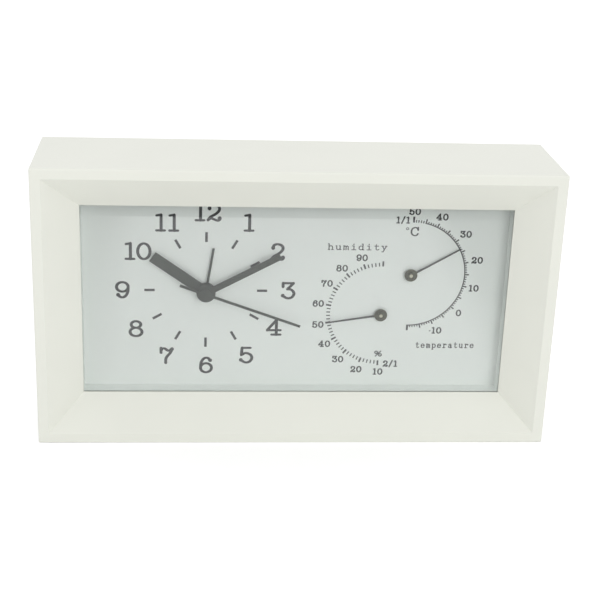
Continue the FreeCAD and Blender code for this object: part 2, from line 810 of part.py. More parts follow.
def hand_bore(number, rise, radius):
    """A tube's bore, past both of its ends."""
    long = f"gear_front - dial_front + {rise} + 2 * overrun - ({layer(number)})"
    return rod(("0", "0", f"{layer(number)} - overrun"), radius, f"{long} + overrun")


def make_motion_work():
    """Minute and hour tubes, the motion wheel between them, and the alarm work."""
    cannon = [
        toothed("motion_module", "cannon_teeth", 2, phase=MOTION_DEGREES, extra="shaft_gap"),
        hand_tube(3, "minute_rise", "minute_tube"),
    ]
    seat(made("cannon_pinion", cannon, [hand_bore(3, "minute_rise", "minute_bore")]),
         *CLOCK_AXIS, "gear_front")
    hour = [
        toothed("hour_module", "hour_teeth", 1, phase=facing_gap(MOTION_DEGREES, "hour_teeth")),
        hand_tube(1, "hour_rise", "hour_tube"),
    ]
    seat(made("hour_wheel", hour, [hand_bore(1, "hour_rise", "hour_bore")]),
         *CLOCK_AXIS, "gear_front")
    alarm = [
        toothed("alarm_module", "alarm_teeth", 0, phase=facing_gap(ALARM_DEGREES, "alarm_teeth")),
        hand_tube(0, "alarm_rise", "alarm_tube"),
    ]
    seat(made("alarm_wheel", alarm, [hand_bore(0, "alarm_rise", "alarm_bore")]),
         *CLOCK_AXIS, "gear_front")
    tail = "chamber_rear - gear_front + plate_thick + cover_gap + cover_thick + knob_clear"
    nose = "gear_clear + plate_thick / 2"
    motion = [
        toothed("motion_module", "motion_teeth", 2,
                phase=facing_gap(MOTION_DEGREES + 180, "motion_teeth")),
        toothed("hour_module", "motion_pinion_teeth", 1, phase=MOTION_DEGREES + 180,
                extra="shaft_gap"),
        rod(("0", "0", f"-({tail} + knob_thick / 2)"), "setting_arbor",
            f"{tail} + knob_thick / 2 + {nose}"),
    ]
    seat(made("motion_wheel", motion), *from_clock(MOTION_AT), "gear_front")
    pinion = [
        toothed("alarm_module", "alarm_pinion_teeth", 0, phase=ALARM_DEGREES + 180,
                extra="shaft_gap"),
        rod(("0", "0", f"-({tail} + knob_thick / 2)"), "setting_arbor",
            f"{tail} + knob_thick / 2 + {nose}"),
    ]
    seat(made("alarm_pinion", pinion), *from_clock(ALARM_AT), "gear_front")
    for label, at in (("time_knob", MOTION_AT), ("alarm_knob", ALARM_AT)):
        make_knob(label, at)


def make_knob(label, at):
    """A fluted setting knob, pressed on its arbor."""
    knob = body(label)
    reach = "cover_rear + knob_clear - movement_rear - cover_gap / 2"
    disc(knob, "shaft", ("0", "0", "0"), "knob_shaft", f"{reach} + knob_thick / 2")
    disc(knob, "grip", ("0", "0", "-knob_thick / 2"), "knob_radius", "knob_thick")
    for number in range(KNOB_FLUTES):
        spot = polar("knob_radius", 360 / KNOB_FLUTES * number)
        disc(knob, "flute", (*spot, "-knob_thick / 2 - overrun"), "flute_radius",
             "knob_thick + 2 * overrun", cut=True)
    disc(knob, "arbor_hole", ("0", "0", "-part_gap / 2"), "setting_arbor + shaft_gap",
         f"{reach} + knob_thick + overrun", cut=True)
    seat(knob, *from_clock(at), "cover_rear + knob_clear + knob_thick / 2")


def make_movement_front():
    """The front plate of the movement and its bushing through the dial."""
    front = body("movement_front_case")
    block(front, "plate", ("0", "0", "0"), ("movement_side", "movement_side", "plate_thick"))
    disc(front, "bushing", ("0", "0", "0"), "bushing_radius",
         "plate_thick + dial_thick + bushing_proud")
    disc(front, "bushing_bore", ("0", "0", "-overrun"), "bushing_bore",
         "plate_thick + dial_thick + bushing_proud + 2 * overrun", cut=True)
    for at, radius in ((THIRD_AT, "arbor_radius"), (MOTION_AT, "setting_arbor"),
                       (ALARM_AT, "setting_arbor")):
        disc(front, "pivot_hole", (*at, "-overrun"), f"{radius} + shaft_gap",
             "plate_thick * 3 / 4 + overrun", cut=True)
    for x, y in movement_posts():
        disc(front, "bolt_hole", (x, y, "-overrun"), "case_bolt_shank + screw_gap",
             "plate_thick * 3 / 4 + overrun", cut=True)
    seat(front, *CLOCK_AXIS, "chamber_front")


def movement_posts():
    """The corners of the gear chamber that take the movement's screws."""
    right = "(half_movement - bay_wall - movement_post / 2)"
    low = "(chamber_low + movement_post / 2)"
    high = "(half_movement - bay_wall - movement_post / 2)"
    return [(f"{side} * {right}", up) for side in ("-1", "1") for up in (low, high)]


def make_movement_rear():
    """The rear case of the movement: gear chamber above, battery bay below."""
    rear = body("movement_rear_case")
    deep = "movement_rear - chamber_front"
    block(rear, "outside", ("0", "0", "0"), ("movement_side", "movement_side", deep))
    for side in ("-1", "1"):
        block(rear, "ear", (f"{side} * ear_right", "ear_up",
                            "movement_rear - dial_rear - standoff_long - ear_thick"),
              ("ear_side + overrun", "ear_side", "ear_thick"))
    block(rear, "chamber", ("0", "chamber_middle", "plate_thick"),
          ("bay_long", "chamber_tall", f"{deep} - plate_thick + overrun"), cut=True)
    block(rear, "battery_bay", ("0", "bay_middle", "-overrun"),
          ("bay_long", "battery_bay_tall", f"{deep} - plate_thick + overrun"), cut=True)
    for x, y in movement_posts():
        block(rear, "post", (x, y, "plate_thick"), ("movement_post", "movement_post",
                                                    f"{deep} - plate_thick"))
    for at, number in ((("0", "0"), 8), (THIRD_AT, 8), (STEP_AT, 8), (ROTOR_AT, 10)):
        disc(rear, "pivot_boss", (*at, "0"), "pivot_boss",
             f"movement_rear - gear_front - {number} * layer_step")
    for x in ("-stator_left + stator_arm / 2", "stator_right - stator_arm / 2"):
        disc(rear, "stator_boss", (x, "stator_low + stator_arm / 2", "0"), "pivot_boss",
             f"movement_rear - gear_front + {layer(8)} - stator_thick / 2 + wheel_thick / 2")
    for share in BOARD_BOSS_SHARES:
        disc(rear, "board_boss", ("board_left + board_wide / 2",
                                  f"board_low + board_tall * {share}", "0"), "pivot_boss",
             "plate_thick + board_drop")
    for at in (MOTION_AT, ALARM_AT):
        disc(rear, "arbor_hole", (*at, "-overrun"), "knob_shaft + part_gap",
             "plate_thick + 2 * overrun", cut=True)
    for at, radius in ((("0", "0"), "second_arbor"), (THIRD_AT, "arbor_radius"),
                       (STEP_AT, "arbor_radius"), (ROTOR_AT, "arbor_radius")):
        disc(rear, "pivot_hole", (*at, "plate_thick"), f"{radius} + shaft_gap", deep, cut=True)
    block(rear, "switch_slot", ("switch_right + switch_travel / 2", "switch_up", "-overrun"),
          ("stem_long + switch_travel + 2 * part_gap", "stem_tall + 2 * part_gap",
           "plate_thick + 2 * overrun"), cut=True)
    for x, y in movement_posts():
        disc(rear, "bolt_hole", (x, y, "-overrun"), "case_bolt_shank + screw_gap",
             f"{deep} + 2 * overrun", cut=True)
        disc(rear, "bolt_seat", (x, y, "-overrun"), "case_bolt_head + part_gap",
             "plate_thick + overrun", cut=True)
    for side in ("-1", "1"):
        disc(rear, "ear_hole", (f"{side} * ear_right", "ear_up", "0"),
             "mount_screw_shank + screw_gap", deep, cut=True)
    sounder = ("-sounder_left", "sounder_up")
    for number in range(SOUND_HOLES):
        spot = polar("sound_ring", number * 360 // SOUND_HOLES, sounder)
        disc(rear, "sound_hole", (*spot, "-overrun"), "sound_hole",
             "plate_thick + 2 * overrun", cut=True)
    seat(rear, *CLOCK_AXIS, "movement_rear")


def make_middle_plate():
    """The bearing plate between the centre wheel and the seconds train."""
    plate = body("movement_middle_plate")
    thick = "wheel_thick"
    wide = "bay_long - 2 * part_gap"
    low = "(chamber_low + movement_post + part_gap)"
    high = "(half_movement - bay_wall - movement_post - part_gap)"
    block(plate, "plate", ("0", f"({low} + {high}) / 2", layer(4)),
          (wide, f"{high} - {low}", thick))
    holes = ((("0", "0"), "second_arbor + shaft_gap"), (THIRD_AT, "arbor_radius + shaft_gap"),
             (STEP_AT, "arbor_radius + shaft_gap"), (MOTION_AT, "setting_arbor + shaft_gap"),
             (ALARM_AT, "setting_arbor + shaft_gap"))
    for at, radius in holes:
        disc(plate, "arbor_hole", (*at, f"{layer(4)} - overrun"), radius,
             f"{thick} + 2 * overrun", cut=True)
    seat(plate, *CLOCK_AXIS, "gear_front")


def make_movement_screws():
    """Screws that join the movement's two cases and fix it to the dial."""
    bolts = [from_clock(at) for at in movement_posts()]
    screw_group("movement_screws", bolts, "case_bolt_head", "case_bolt_shank",
                "movement_deep - plate_thick * 3 / 2", "chamber_rear", "plate_thick * 3 / 4")
    ears = [from_clock((f"{side} * ear_right", "ear_up")) for side in ("-1", "1")]
    screw_group("mounting_screws", ears, "mount_screw_head", "mount_screw_shank",
                "mount_screw_long", "dial_rear + standoff_long + ear_thick")


def make_motor():
    """Stator, coil core, bobbin and winding of the stepping motor."""
    stator_rear = f"{layer(8)} - stator_thick / 2 + wheel_thick / 2"
    wide = "stator_left + stator_right"
    middle = "(stator_right - stator_left) / 2"
    low_tall = "stator_tall / 2"
    arms = [
        bar((middle, f"stator_low + {low_tall} / 2", stator_rear), (wide, low_tall, "stator_thick")),
        bar(("-stator_left + stator_arm / 2", "stator_low + stator_tall / 2", stator_rear),
            ("stator_arm", "stator_tall", "stator_thick")),
        bar(("stator_right - stator_arm / 2", "stator_low + stator_tall / 2", stator_rear),
            ("stator_arm", "stator_tall", "stator_thick")),
    ]
    hole = rod((*ROTOR_AT, f"{stator_rear} - overrun"), "magnet_radius + magnet_gap",
               "stator_thick + 2 * overrun")
    seat(made("stator", arms, [hole]), *CLOCK_AXIS, "gear_front")
    core_rear = f"{stator_rear} + stator_thick"
    core = body("coil_core")
    block(core, "bar", (middle, "core_up", core_rear), (wide, "core_tall", "core_thick"))
    seat(core, *CLOCK_AXIS, "gear_front")
    across = FreeCAD.Vector(1, 0, 0)
    coil_long = f"({wide} - 2 * stator_arm - 2 * part_gap)"
    start = "-stator_left + stator_arm + part_gap"
    up = f"{core_rear} + core_thick / 2"
    barrel = rod((start, "core_up", up), "barrel_radius", coil_long, across)
    ends = [rod((f"{start} + {shift}", "core_up", up), "flange_radius", "flange_thick", across)
            for shift in ("0", f"{coil_long} - flange_thick")]
    bore = bar((middle, "core_up", f"{core_rear} - shaft_gap"),
               (f"{coil_long} + 2 * overrun", "core_tall + 2 * shaft_gap",
                "core_thick + 2 * shaft_gap"))
    seat(made("coil_bobbin", [barrel] + ends, [bore]), *CLOCK_AXIS, "gear_front")
    inside = f"{coil_long} - 2 * flange_thick - 2 * shaft_gap"
    wound = rod((f"{start} + flange_thick + shaft_gap", "core_up", up), "winding_radius",
                inside, across)
    hollow = rod((f"{start} + flange_thick", "core_up", up), "barrel_radius + shaft_gap",
                 f"{inside} + 2 * overrun", across)
    seat(made("coil_winding", [wound], [hollow]), *CLOCK_AXIS, "gear_front")


def make_electronics():
    """Circuit board, chip, crystal, sounder and the alarm's contact spring."""
    board = body("circuit_board")
    middle_x = "board_left + board_wide / 2"
    middle_y = "board_low + board_tall / 2"
    board_rear = "chamber_rear - board_drop"
    block(board, "board", ("0", "0", "0"), ("board_wide", "board_tall", "board_thick"))
    seat(board, *from_clock((middle_x, middle_y)), board_rear)
    chip = body("control_chip")
    block(chip, "package", ("0", "0", "0"), ("chip_side", "chip_side", "chip_thick"))
    seat(chip, *from_clock((middle_x, f"{middle_y} + board_tall / 5")),
         f"{board_rear} - board_thick")
    crystal = made("quartz_crystal", [
        rod(("0", "0", "0"), "crystal_radius", "crystal_long", FreeCAD.Vector(1, 0, 0)),
        rod(("-crystal_radius / 2", "0", "0"), "crystal_foot", "crystal_long / 2",
            FreeCAD.Vector(1, 0, 0))])
    seat(crystal, *from_clock((f"{middle_x} - crystal_long / 2", f"{middle_y} - board_tall / 3")),
         f"{board_rear} - board_thick - crystal_radius")
    sounder = made("sounder", [rod(("0", "0", "0"), "sounder_radius", "sounder_thick"),
                               rod(("0", "0", "0"), "sounder_radius / 3",
                                   "sounder_thick + crystal_radius")],
                   [rod(("0", "0", "-overrun"), "sounder_radius / 4", "overrun + head_thick")])
    seat(sounder, *from_clock(("-sounder_left", "sounder_up")), "chamber_rear")
    tip = "(alarm_teeth / 2 + 1) * alarm_module + part_gap"
    spring_long = f"(bay_long / 2 - movement_post - ({tip}))"
    leaf = made("alarm_contact_spring", [
        bar((f"-({tip}) - {spring_long} / 2", "0", "0"),
            (spring_long, "contact_spring_wide", "contact_spring_thick")),
        bar((f"-({tip}) - {spring_long} + contact_spring_wide / 2", "contact_spring_wide / 2",
             "-contact_spring_thick"),
            ("contact_spring_wide", "2 * contact_spring_wide", "2 * contact_spring_thick"))])
    seat(leaf, *from_clock(("0", "contact_spring_wide * 2")), "chamber_front + contact_spring_thick")


# Battery


def half_turn_wire(ends):
    """A spring's centre line: half turns whose ends lie on one line."""
    arcs = []
    for number, (first, last) in enumerate(zip(ends[:-1], ends[1:])):
        middle = (first + last) * 0.5
        side = 1 if number % 2 == 0 else -1
        bulge = middle + FreeCAD.Vector(0, 0, side * (last - first).Length / 2)
        arcs.append(Part.Arc(first, bulge, last).toShape())
    return Part.Wire(arcs)


def make_battery():
    """The cell and its two contacts, lying across the bay."""
    across = FreeCAD.Vector(1, 0, 0)
    free = "(bay_long - battery_body - battery_nub - contact_thick)"
    start = f"(-bay_long / 2 + {free})"
    cell = made("battery", [
        rod((start, "0", "0"), "battery_radius", "battery_body", across),
        rod((start, "0", "0"), "battery_nub_radius", "battery_body + battery_nub", across)])
    seat(cell, *from_clock(("0", "bay_middle")), "battery_deep")
    plate = body("battery_contact_positive")
    block(plate, "plate", ("0", "0", "-contact_side / 2"),
          ("contact_thick", "contact_side", "contact_side"))
    seat(plate, *from_clock(("bay_long / 2 - contact_thick / 2", "bay_middle")), "battery_deep")
    ends = []
    length = (size("movement_side") - 2 * size("bay_wall") - size("battery_body")
              - size("battery_nub") - 2 * size("contact_thick") - size("coil_wire"))
    for number in range(SPRING_HALF_TURNS + 1):
        share = number / SPRING_HALF_TURNS
        radius = size("coil_large") + share * (size("coil_small") - size("coil_large"))
        up = radius if number % 2 == 0 else -radius
        ends.append(FreeCAD.Vector(share * length, up, 0))
    line = half_turn_wire(ends)
    circle = Part.Wire(Part.makeCircle(size("coil_wire") / 2, ends[0], FreeCAD.Vector(0, 0, 1)))
    turns = doc.addObject("Part::Feature", "turns")
    turns.Shape = line.makePipeShell([circle], True, False)
    stand(turns, "contact_thick + coil_wire / 2 - contact_thick / 9", "0", "0")
    spring = made("battery_contact_negative", [
        turns, bar(("contact_thick / 2", "0", "-contact_side / 2"),
                   ("contact_thick", "contact_side", "contact_side"))])
    seat(spring, *from_clock(("-bay_long / 2", "bay_middle")), "battery_deep")


def make_switch():
    """The alarm's on and off slider, in slots of the movement and the cover."""
    slider = body("alarm_switch")
    reach = "chamber_rear - cover_rear - stem_proud"
    block(slider, "flange", ("0", "0", "shaft_gap"), ("slider_long", "slider_tall", "slider_thick"))
    block(slider, "stem", ("0", "0", reach), ("stem_long", "stem_tall", f"slider_thick - ({reach})"))
    seat(slider, *from_clock(("switch_right", "switch_up")), "chamber_rear")


# Hands


def make_hand(label, rise, degrees, bore, corners, hub="hub_radius", bore_end="hand_thick + overrun"):
    """A flat hand with a round hub, pressed on its tube or arbor.

    Its bore ends bore_end in front of the hand's rear face.
    """
    hand = body(label)
    outline(hand, "blade", corners, "hand_thick", rise)
    disc(hand, "hub", ("0", "0", rise), hub, "hand_thick")
    disc(hand, "collar", ("0", "0", f"{rise} - hub_step"), f"{bore} + tube_wall + shaft_gap",
         "hub_step + hand_thick")
    disc(hand, "bore", ("0", "0", f"{rise} - hub_step - overrun"), f"{bore} + shaft_gap / 2",
         f"hub_step + overrun + {bore_end}", cut=True)
    seat(hand, *CLOCK_AXIS, "dial_front", -degrees)


def blade(long, wide, tip_wide, tail="0"):
    """A straight blade, from its tail to its square tip."""
    return [(f"({wide}) / 2", f"-({tail})"), (f"({tip_wide}) / 2", long),
            (f"-({tip_wide}) / 2", long), (f"-({wide}) / 2", f"-({tail})")]


def make_hands():
    """Alarm, hour, minute and second hands, from the dial forward."""
    make_hand("alarm_hand", "alarm_rise", ALARM_HAND_DEGREES, "alarm_tube",
              blade("alarm_hand_long", "alarm_hand_wide", "alarm_hand_wide"))
    make_hand("hour_hand", "hour_rise", HOUR_DEGREES, "hour_tube",
              blade("hour_hand_long", "hour_hand_wide", "hour_hand_wide"))
    make_hand("minute_hand", "minute_rise", MINUTE_DEGREES, "minute_tube",
              blade("minute_hand_long", "minute_hand_wide", "minute_tip_wide"))
    make_hand("second_hand", "second_rise", SECOND_DEGREES, "second_arbor",
              blade("second_hand_long", "second_tail_wide", "second_hand_wide",
                    "second_hand_tail"), "second_hub_radius", "hand_thick / 2")


# Thermometer and hygrometer works


def strip_shape():
    """A flat spiral strip of half turns, drawn as one outline and raised."""
    half = size("strip_thick") / 2
    ends = [(size("strip_start") + number * size("strip_pitch") / 2) * (-1) ** number
            for number in range(STRIP_HALF_TURNS + 1)]
    edges = []
    rims = {}
    for side in (half, -half):
        points = []
        for number, end in enumerate(ends):
            points.append(FreeCAD.Vector(0, end + side * math.copysign(1, end), 0))
        rims[side] = points
        for number in range(STRIP_HALF_TURNS):
            first = points[number]
            last = points[number + 1]
            turned = 1 if number % 2 == 0 else -1
            bulge = (first + last) * 0.5 + FreeCAD.Vector(turned * (last - first).Length / 2, 0, 0)
            edges.append(Part.Arc(first, bulge, last).toShape())
    edges.append(Part.makeLine(rims[half][0], rims[-half][0]))
    edges.append(Part.makeLine(rims[half][-1], rims[-half][-1]))
    ring = Part.Wire(Part.__sortEdges__(edges))
    return Part.Face(ring).extrude(FreeCAD.Vector(0, 0, size("strip_wide")))


def make_sensor(name, right, above, degrees):
    """One dial thermometer or hygrometer: bracket, spiral, spindle and pointer."""
    height = f"dial_middle + {above}"
    bracket = body(f"{name}_bracket")
    rear = "pillar_long + bracket_thick"
    block(bracket, "plate", ("0", "0", f"{rear}"), ("bracket_wide", "bracket_tall", "bracket_thick"))
    block(bracket, "strap", ("0", "0", f"{rear}"),
          ("pillar_side", "2 * pillar_reach + pillar_side", "bracket_thick"))
    for side in ("-1", "1"):
        block(bracket, "pillar", ("0", f"{side} * pillar_reach", "0"),
              ("pillar_side", "pillar_side", f"{rear} + bracket_thick"))
    block(bracket, "bridge", ("0", "0", "0"),
          ("pillar_side", "2 * pillar_reach + pillar_side", "bracket_thick"))
    disc(bracket, "spindle_bearing", ("0", "0", "-overrun"), "spindle_radius + shaft_gap",
         f"{rear} + bracket_thick + 2 * overrun", cut=True)
    for side in ("-1", "1"):
        disc(bracket, "screw_hole", (f"{side} * sensor_screw_apart / 2", "0", f"{rear} - overrun"),
             "sensor_screw_shank + screw_gap", "bracket_thick + 2 * overrun", cut=True)
    bracket_rear = f"dial_rear + {rear} + bracket_thick"
    seat(bracket, right, height, bracket_rear)
    spiral = doc.addObject("Part::Feature", f"{name}_spiral")
    spiral.Label = f"{name}_spiral"
    spiral.Shape = strip_shape()
    seat(spiral, right, height, "strip_deep + strip_wide")
    spindle = made(f"{name}_spindle", [
        rod(("0", "0", "0"), "spindle_radius",
            f"{bracket_rear} - dial_front + pointer_rise + hand_thick"),
        rod(("0", "0", f"{bracket_rear} - strip_deep - strip_wide - strip_lift / 4"),
            "collar_radius", "strip_wide + strip_lift / 2")])
    seat(spindle, right, height, bracket_rear)
    pointer = body(f"{name}_pointer")
    outline(pointer, "blade", blade("pointer_long", "pointer_wide", "pointer_tip_wide"),
            "hand_thick", "pointer_rise")
    disc(pointer, "hub", ("0", "0", "pointer_rise"), "pointer_hub", "hand_thick")
    disc(pointer, "cap", ("0", "0", "pointer_rise"), "pointer_cap",
         "hand_thick + pointer_dome")
    disc(pointer, "bore", ("0", "0", "pointer_rise - overrun"),
         "spindle_radius + shaft_gap / 2", "hand_thick + shaft_gap + overrun", cut=True)
    seat(pointer, right, height, "dial_front", degrees - 90)


def make_sensors():
    """The two works, and the screws that fix them to the dial."""
    make_sensor("thermometer", "thermometer_right", "thermometer_up", THERMOMETER_DEGREES)
    make_sensor("hygrometer", "hygrometer_right", "-hygrometer_down", HYGROMETER_DEGREES)
    spots = [(f"{right} + {side} * sensor_screw_apart / 2", f"dial_middle + {above}")
             for right, above in (("thermometer_right", "thermometer_up"),
                                  ("hygrometer_right", "-hygrometer_down"))
             for side in ("-1", "1")]
    screw_group("sensor_screws", spots, "sensor_screw_head", "sensor_screw_shank",
                "sensor_screw_long", "dial_rear + bracket_thick", "bracket_thick")


make_case()
make_lens()
make_spacer()
make_dial()
make_rear_cover()
make_case_screws()
make_battery_door()
make_movement_front()
make_movement_rear()
make_middle_plate()
make_movement_screws()
make_train()
make_motion_work()
make_motor()
make_electronics()
make_battery()
make_switch()
make_hands()
make_sensors()
doc.recompute()

for item in doc.Objects:
    if "Invalid" in item.State or "Error" in item.State:
        raise RuntimeError(f"{item.Label} did not build: {item.State}")
for item in nodes:
    if item.Shape.isNull() or not item.Shape.isValid():
        raise RuntimeError(f"{item.Label} has no valid shape")
    if not item.Shape.Solids:
        raise RuntimeError(f"{item.Label} has no solid")

os.makedirs("parts", exist_ok=True)
for item in nodes:
    item.Shape.exportStep(f"parts/{item.Label}.step")
    print(item.Label, len(item.Shape.Solids), "solids", round(item.Shape.Volume, 1), "mm3")
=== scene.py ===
"""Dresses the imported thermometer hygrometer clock: finishes, print on the dial and back, and a studio."""

import json
import math

import bpy
from mathutils import Matrix, Vector, geometry


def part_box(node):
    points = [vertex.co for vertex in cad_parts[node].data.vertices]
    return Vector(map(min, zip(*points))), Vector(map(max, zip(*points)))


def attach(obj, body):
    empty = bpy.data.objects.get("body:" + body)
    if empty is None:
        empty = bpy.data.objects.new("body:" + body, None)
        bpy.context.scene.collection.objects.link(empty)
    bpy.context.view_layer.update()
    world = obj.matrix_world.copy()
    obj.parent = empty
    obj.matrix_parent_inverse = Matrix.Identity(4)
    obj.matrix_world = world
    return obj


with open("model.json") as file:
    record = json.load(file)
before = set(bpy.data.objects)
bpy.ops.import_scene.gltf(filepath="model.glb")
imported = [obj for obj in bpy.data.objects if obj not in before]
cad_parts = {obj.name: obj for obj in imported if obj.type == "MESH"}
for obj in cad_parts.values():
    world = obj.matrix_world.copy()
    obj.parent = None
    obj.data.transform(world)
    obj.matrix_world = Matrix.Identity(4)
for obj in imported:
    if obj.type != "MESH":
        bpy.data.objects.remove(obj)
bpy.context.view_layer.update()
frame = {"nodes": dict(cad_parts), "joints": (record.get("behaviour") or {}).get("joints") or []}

MM = 0.001
PIVOT = {joint["name"]: Vector(joint["pos_m"]) / MM for joint in frame["joints"] if joint["type"] == "hinge"}
CLOCK = PIVOT["minute_spin"]
THERMOMETER = PIVOT["thermometer_swing"]
HYGROMETER = PIVOT["hygrometer_swing"]


# Shader nodes

def material(name):
    """A material with an empty node tree."""
    made = bpy.data.materials.new(name)
    made.use_nodes = True
    made.node_tree.nodes.clear()
    return made


def feed(owner, socket, value):
    """Sets an input to a number or a colour, or links it to the socket that feeds it."""
    if isinstance(value, bpy.types.NodeSocket):
        owner.node_tree.links.new(value, socket)
    else:
        socket.default_value = value


def add(owner, kind, inputs=None, **settings):
    """A node of a material or world. An input is a number, a colour or the socket that feeds it."""
    made = owner.node_tree.nodes.new("ShaderNode" + kind)
    for name, value in settings.items():
        setattr(made, name, value)
    for name, value in (inputs or {}).items():
        feed(owner, made.inputs[name], value)
    return made


def output(owner, shader):
    """Ends a material's tree at its surface."""
    add(owner, "OutputMaterial", {"Surface": shader})


def place_of(owner, stretch=(1, 1, 1)):
    """A point's own place on its piece, in metres, drawn out along the axes where stretch is under 1."""
    spot = add(owner, "TexCoord").outputs["Object"]
    return add(owner, "Mapping", {"Vector": spot, "Scale": stretch}).outputs["Vector"]


def noise(owner, size, stretch=(1, 1, 1)):
    """Soft random patches about size metres wide, from 0 to 1."""
    made = add(owner, "TexNoise", {
        "Vector": place_of(owner, stretch), "Scale": 1 / size, "Detail": 2.0, "Roughness": 0.5,
    })
    return made.outputs["Fac"]


def spread(owner, value, low, high, start=0.3, end=0.7):
    """Carries a value from the span start to end over to the span low to high."""
    made = add(owner, "MapRange", {
        "Value": value, "From Min": start, "From Max": end, "To Min": low, "To Max": high,
    })
    return made.outputs["Result"]


def math_of(owner, operation, first, second=0.0):
    """The sum, product or other result of two values."""
    made = add(owner, "Math", operation=operation)
    for socket, value in zip(made.inputs, (first, second)):
        feed(owner, socket, value)
    return made.outputs["Value"]


def mixed(owner, share, first, second):
    """A colour between two, by share from 0 to 1."""
    made = add(owner, "Mix", data_type="RGBA")
    # The node has sockets of the same names for each kind of value. The colours' are 6 and 7 in, 2 out
    feed(owner, made.inputs[0], share)
    feed(owner, made.inputs[6], first)
    feed(owner, made.inputs[7], second)
    return made.outputs[2]


def shaded(colour, factor):
    """A colour made lighter or darker, with its alpha at 1."""
    return (*(min(1.0, part * factor) for part in colour[:3]), 1.0)


def relief(owner, depth, height):
    """A bump of that depth in metres from a height pattern."""
    return add(owner, "Bump", {"Height": height, "Strength": 1.0, "Distance": depth}).outputs["Normal"]


def from_pivot(owner, pivot):
    """How far a point is from an axis that runs front to back through the pivot, in metres."""
    spot = add(owner, "TexCoord").outputs["Object"]
    away = add(owner, "VectorMath", {0: spot, 1: tuple(pivot * MM)}, operation="SUBTRACT")
    flat = add(owner, "VectorMath", {0: away.outputs["Vector"], 1: (1, 0, 1)}, operation="MULTIPLY")
    return add(owner, "VectorMath", {0: flat.outputs["Vector"]}, operation="LENGTH").outputs["Value"]


# Finishes

def finish(name, colour, roughness, *, patch, shade, grain, depth, rub=0.05, metallic=0.0,
           stretch=(1, 1, 1), sockets=None):
    """A moulded, painted or metal surface. Its tone varies in patches, its gloss and relief in a grain."""
    made = material(name)
    cloud = noise(made, patch, stretch)
    speck = noise(made, grain, stretch)
    tone = mixed(made, spread(made, cloud, 0.0, 1.0), shaded(colour, 1 - shade), shaded(colour, 1 + shade))
    shader = add(made, "BsdfPrincipled", {
        "Base Color": tone,
        "Roughness": spread(made, speck, roughness - rub, roughness + rub),
        "Metallic": metallic,
        "Normal": relief(made, depth, speck),
        **(sockets or {}),
    })
    output(made, shader.outputs["BSDF"])
    return made


def clear_lens():
    """A clear flat pane with a faint uneven polish. Lamps shine through it."""
    made = material("clear_lens")
    polish = spread(made, noise(made, 0.02), 0.0, 0.02)
    pane = add(made, "BsdfPrincipled", {
        "Base Color": (0.97, 0.985, 0.98, 1.0),
        "Roughness": polish,
        "IOR": 1.57,
        "Transmission Weight": 1.0,
    })
    open_pane = add(made, "BsdfTransparent", {"Color": (0.985, 0.99, 0.987, 1.0)})
    shadow = add(made, "LightPath").outputs["Is Shadow Ray"]
    both = add(made, "MixShader", {0: shadow, 1: pane.outputs["BSDF"], 2: open_pane.outputs["BSDF"]})
    output(made, both.outputs["Shader"])
    return made


def pointer_finish(name, pivot):
    """Dark paint on the needle, a dark bronze hub and a dull pin end in its middle."""
    hub_edge = 0.00262
    pin_edge = 0.0007
    made = material(name)
    reach = from_pivot(made, pivot)
    speck = noise(made, 0.0003)
    on_hub = math_of(made, "LESS_THAN", reach, hub_edge)
    on_pin = math_of(made, "LESS_THAN", reach, pin_edge)
    hub = mixed(made, spread(made, speck, 0.0, 1.0), (0.036, 0.038, 0.011, 1), (0.048, 0.05, 0.016, 1))
    needle = mixed(made, spread(made, speck, 0.0, 1.0), (0.022, 0.022, 0.02, 1), (0.034, 0.034, 0.031, 1))
    tone = mixed(made, on_hub, needle, hub)
    tone = mixed(made, on_pin, tone, (0.5, 0.48, 0.38, 1))
    shader = add(made, "BsdfPrincipled", {
        "Base Color": tone,
        "Roughness": spread(made, speck, 0.38, 0.52),
        "Metallic": math_of(made, "MULTIPLY", on_pin, 0.6),
        "Normal": relief(made, 0.000004, speck),
    })
    output(made, shader.outputs["BSDF"])
    return made


def winding_finish():
    """Fine enamelled turns side by side round the coil, which lies along x."""
    made = material("copper_turns")
    turns = add(made, "TexWave", {
        "Vector": place_of(made), "Scale": 1 / 0.0012, "Distortion": 0.6, "Detail": 1.0,
    }, wave_type="BANDS", bands_direction="X", wave_profile="SIN")
    tone = mixed(made, turns.outputs["Fac"], (0.28, 0.09, 0.03, 1), (0.72, 0.3, 0.12, 1))
    shader = add(made, "BsdfPrincipled", {
        "Base Color": tone,
        "Roughness": spread(made, noise(made, 0.001), 0.25, 0.4),
        "Metallic": 0.8,
        "Normal": relief(made, 0.00005, turns.outputs["Fac"]),
    })
    output(made, shader.outputs["BSDF"])
    return made


def board_finish():
    """Green lacquer over copper tracks."""
    made = material("board_lacquer")
    tracks = add(made, "TexBrick", {
        "Vector": place_of(made), "Scale": 1 / 0.0015, "Mortar Size": 0.06,
        "Color1": (0.02, 0.14, 0.06, 1), "Color2": (0.025, 0.17, 0.075, 1), "Mortar": (0.1, 0.3, 0.12, 1),
    })
    speck = noise(made, 0.0006)
    shader = add(made, "BsdfPrincipled", {
        "Base Color": tracks.outputs["Color"],
        "Roughness": spread(made, speck, 0.22, 0.35),
        "Normal": relief(made, 0.00002, tracks.outputs["Fac"]),
    })
    output(made, shader.outputs["BSDF"])
    return made


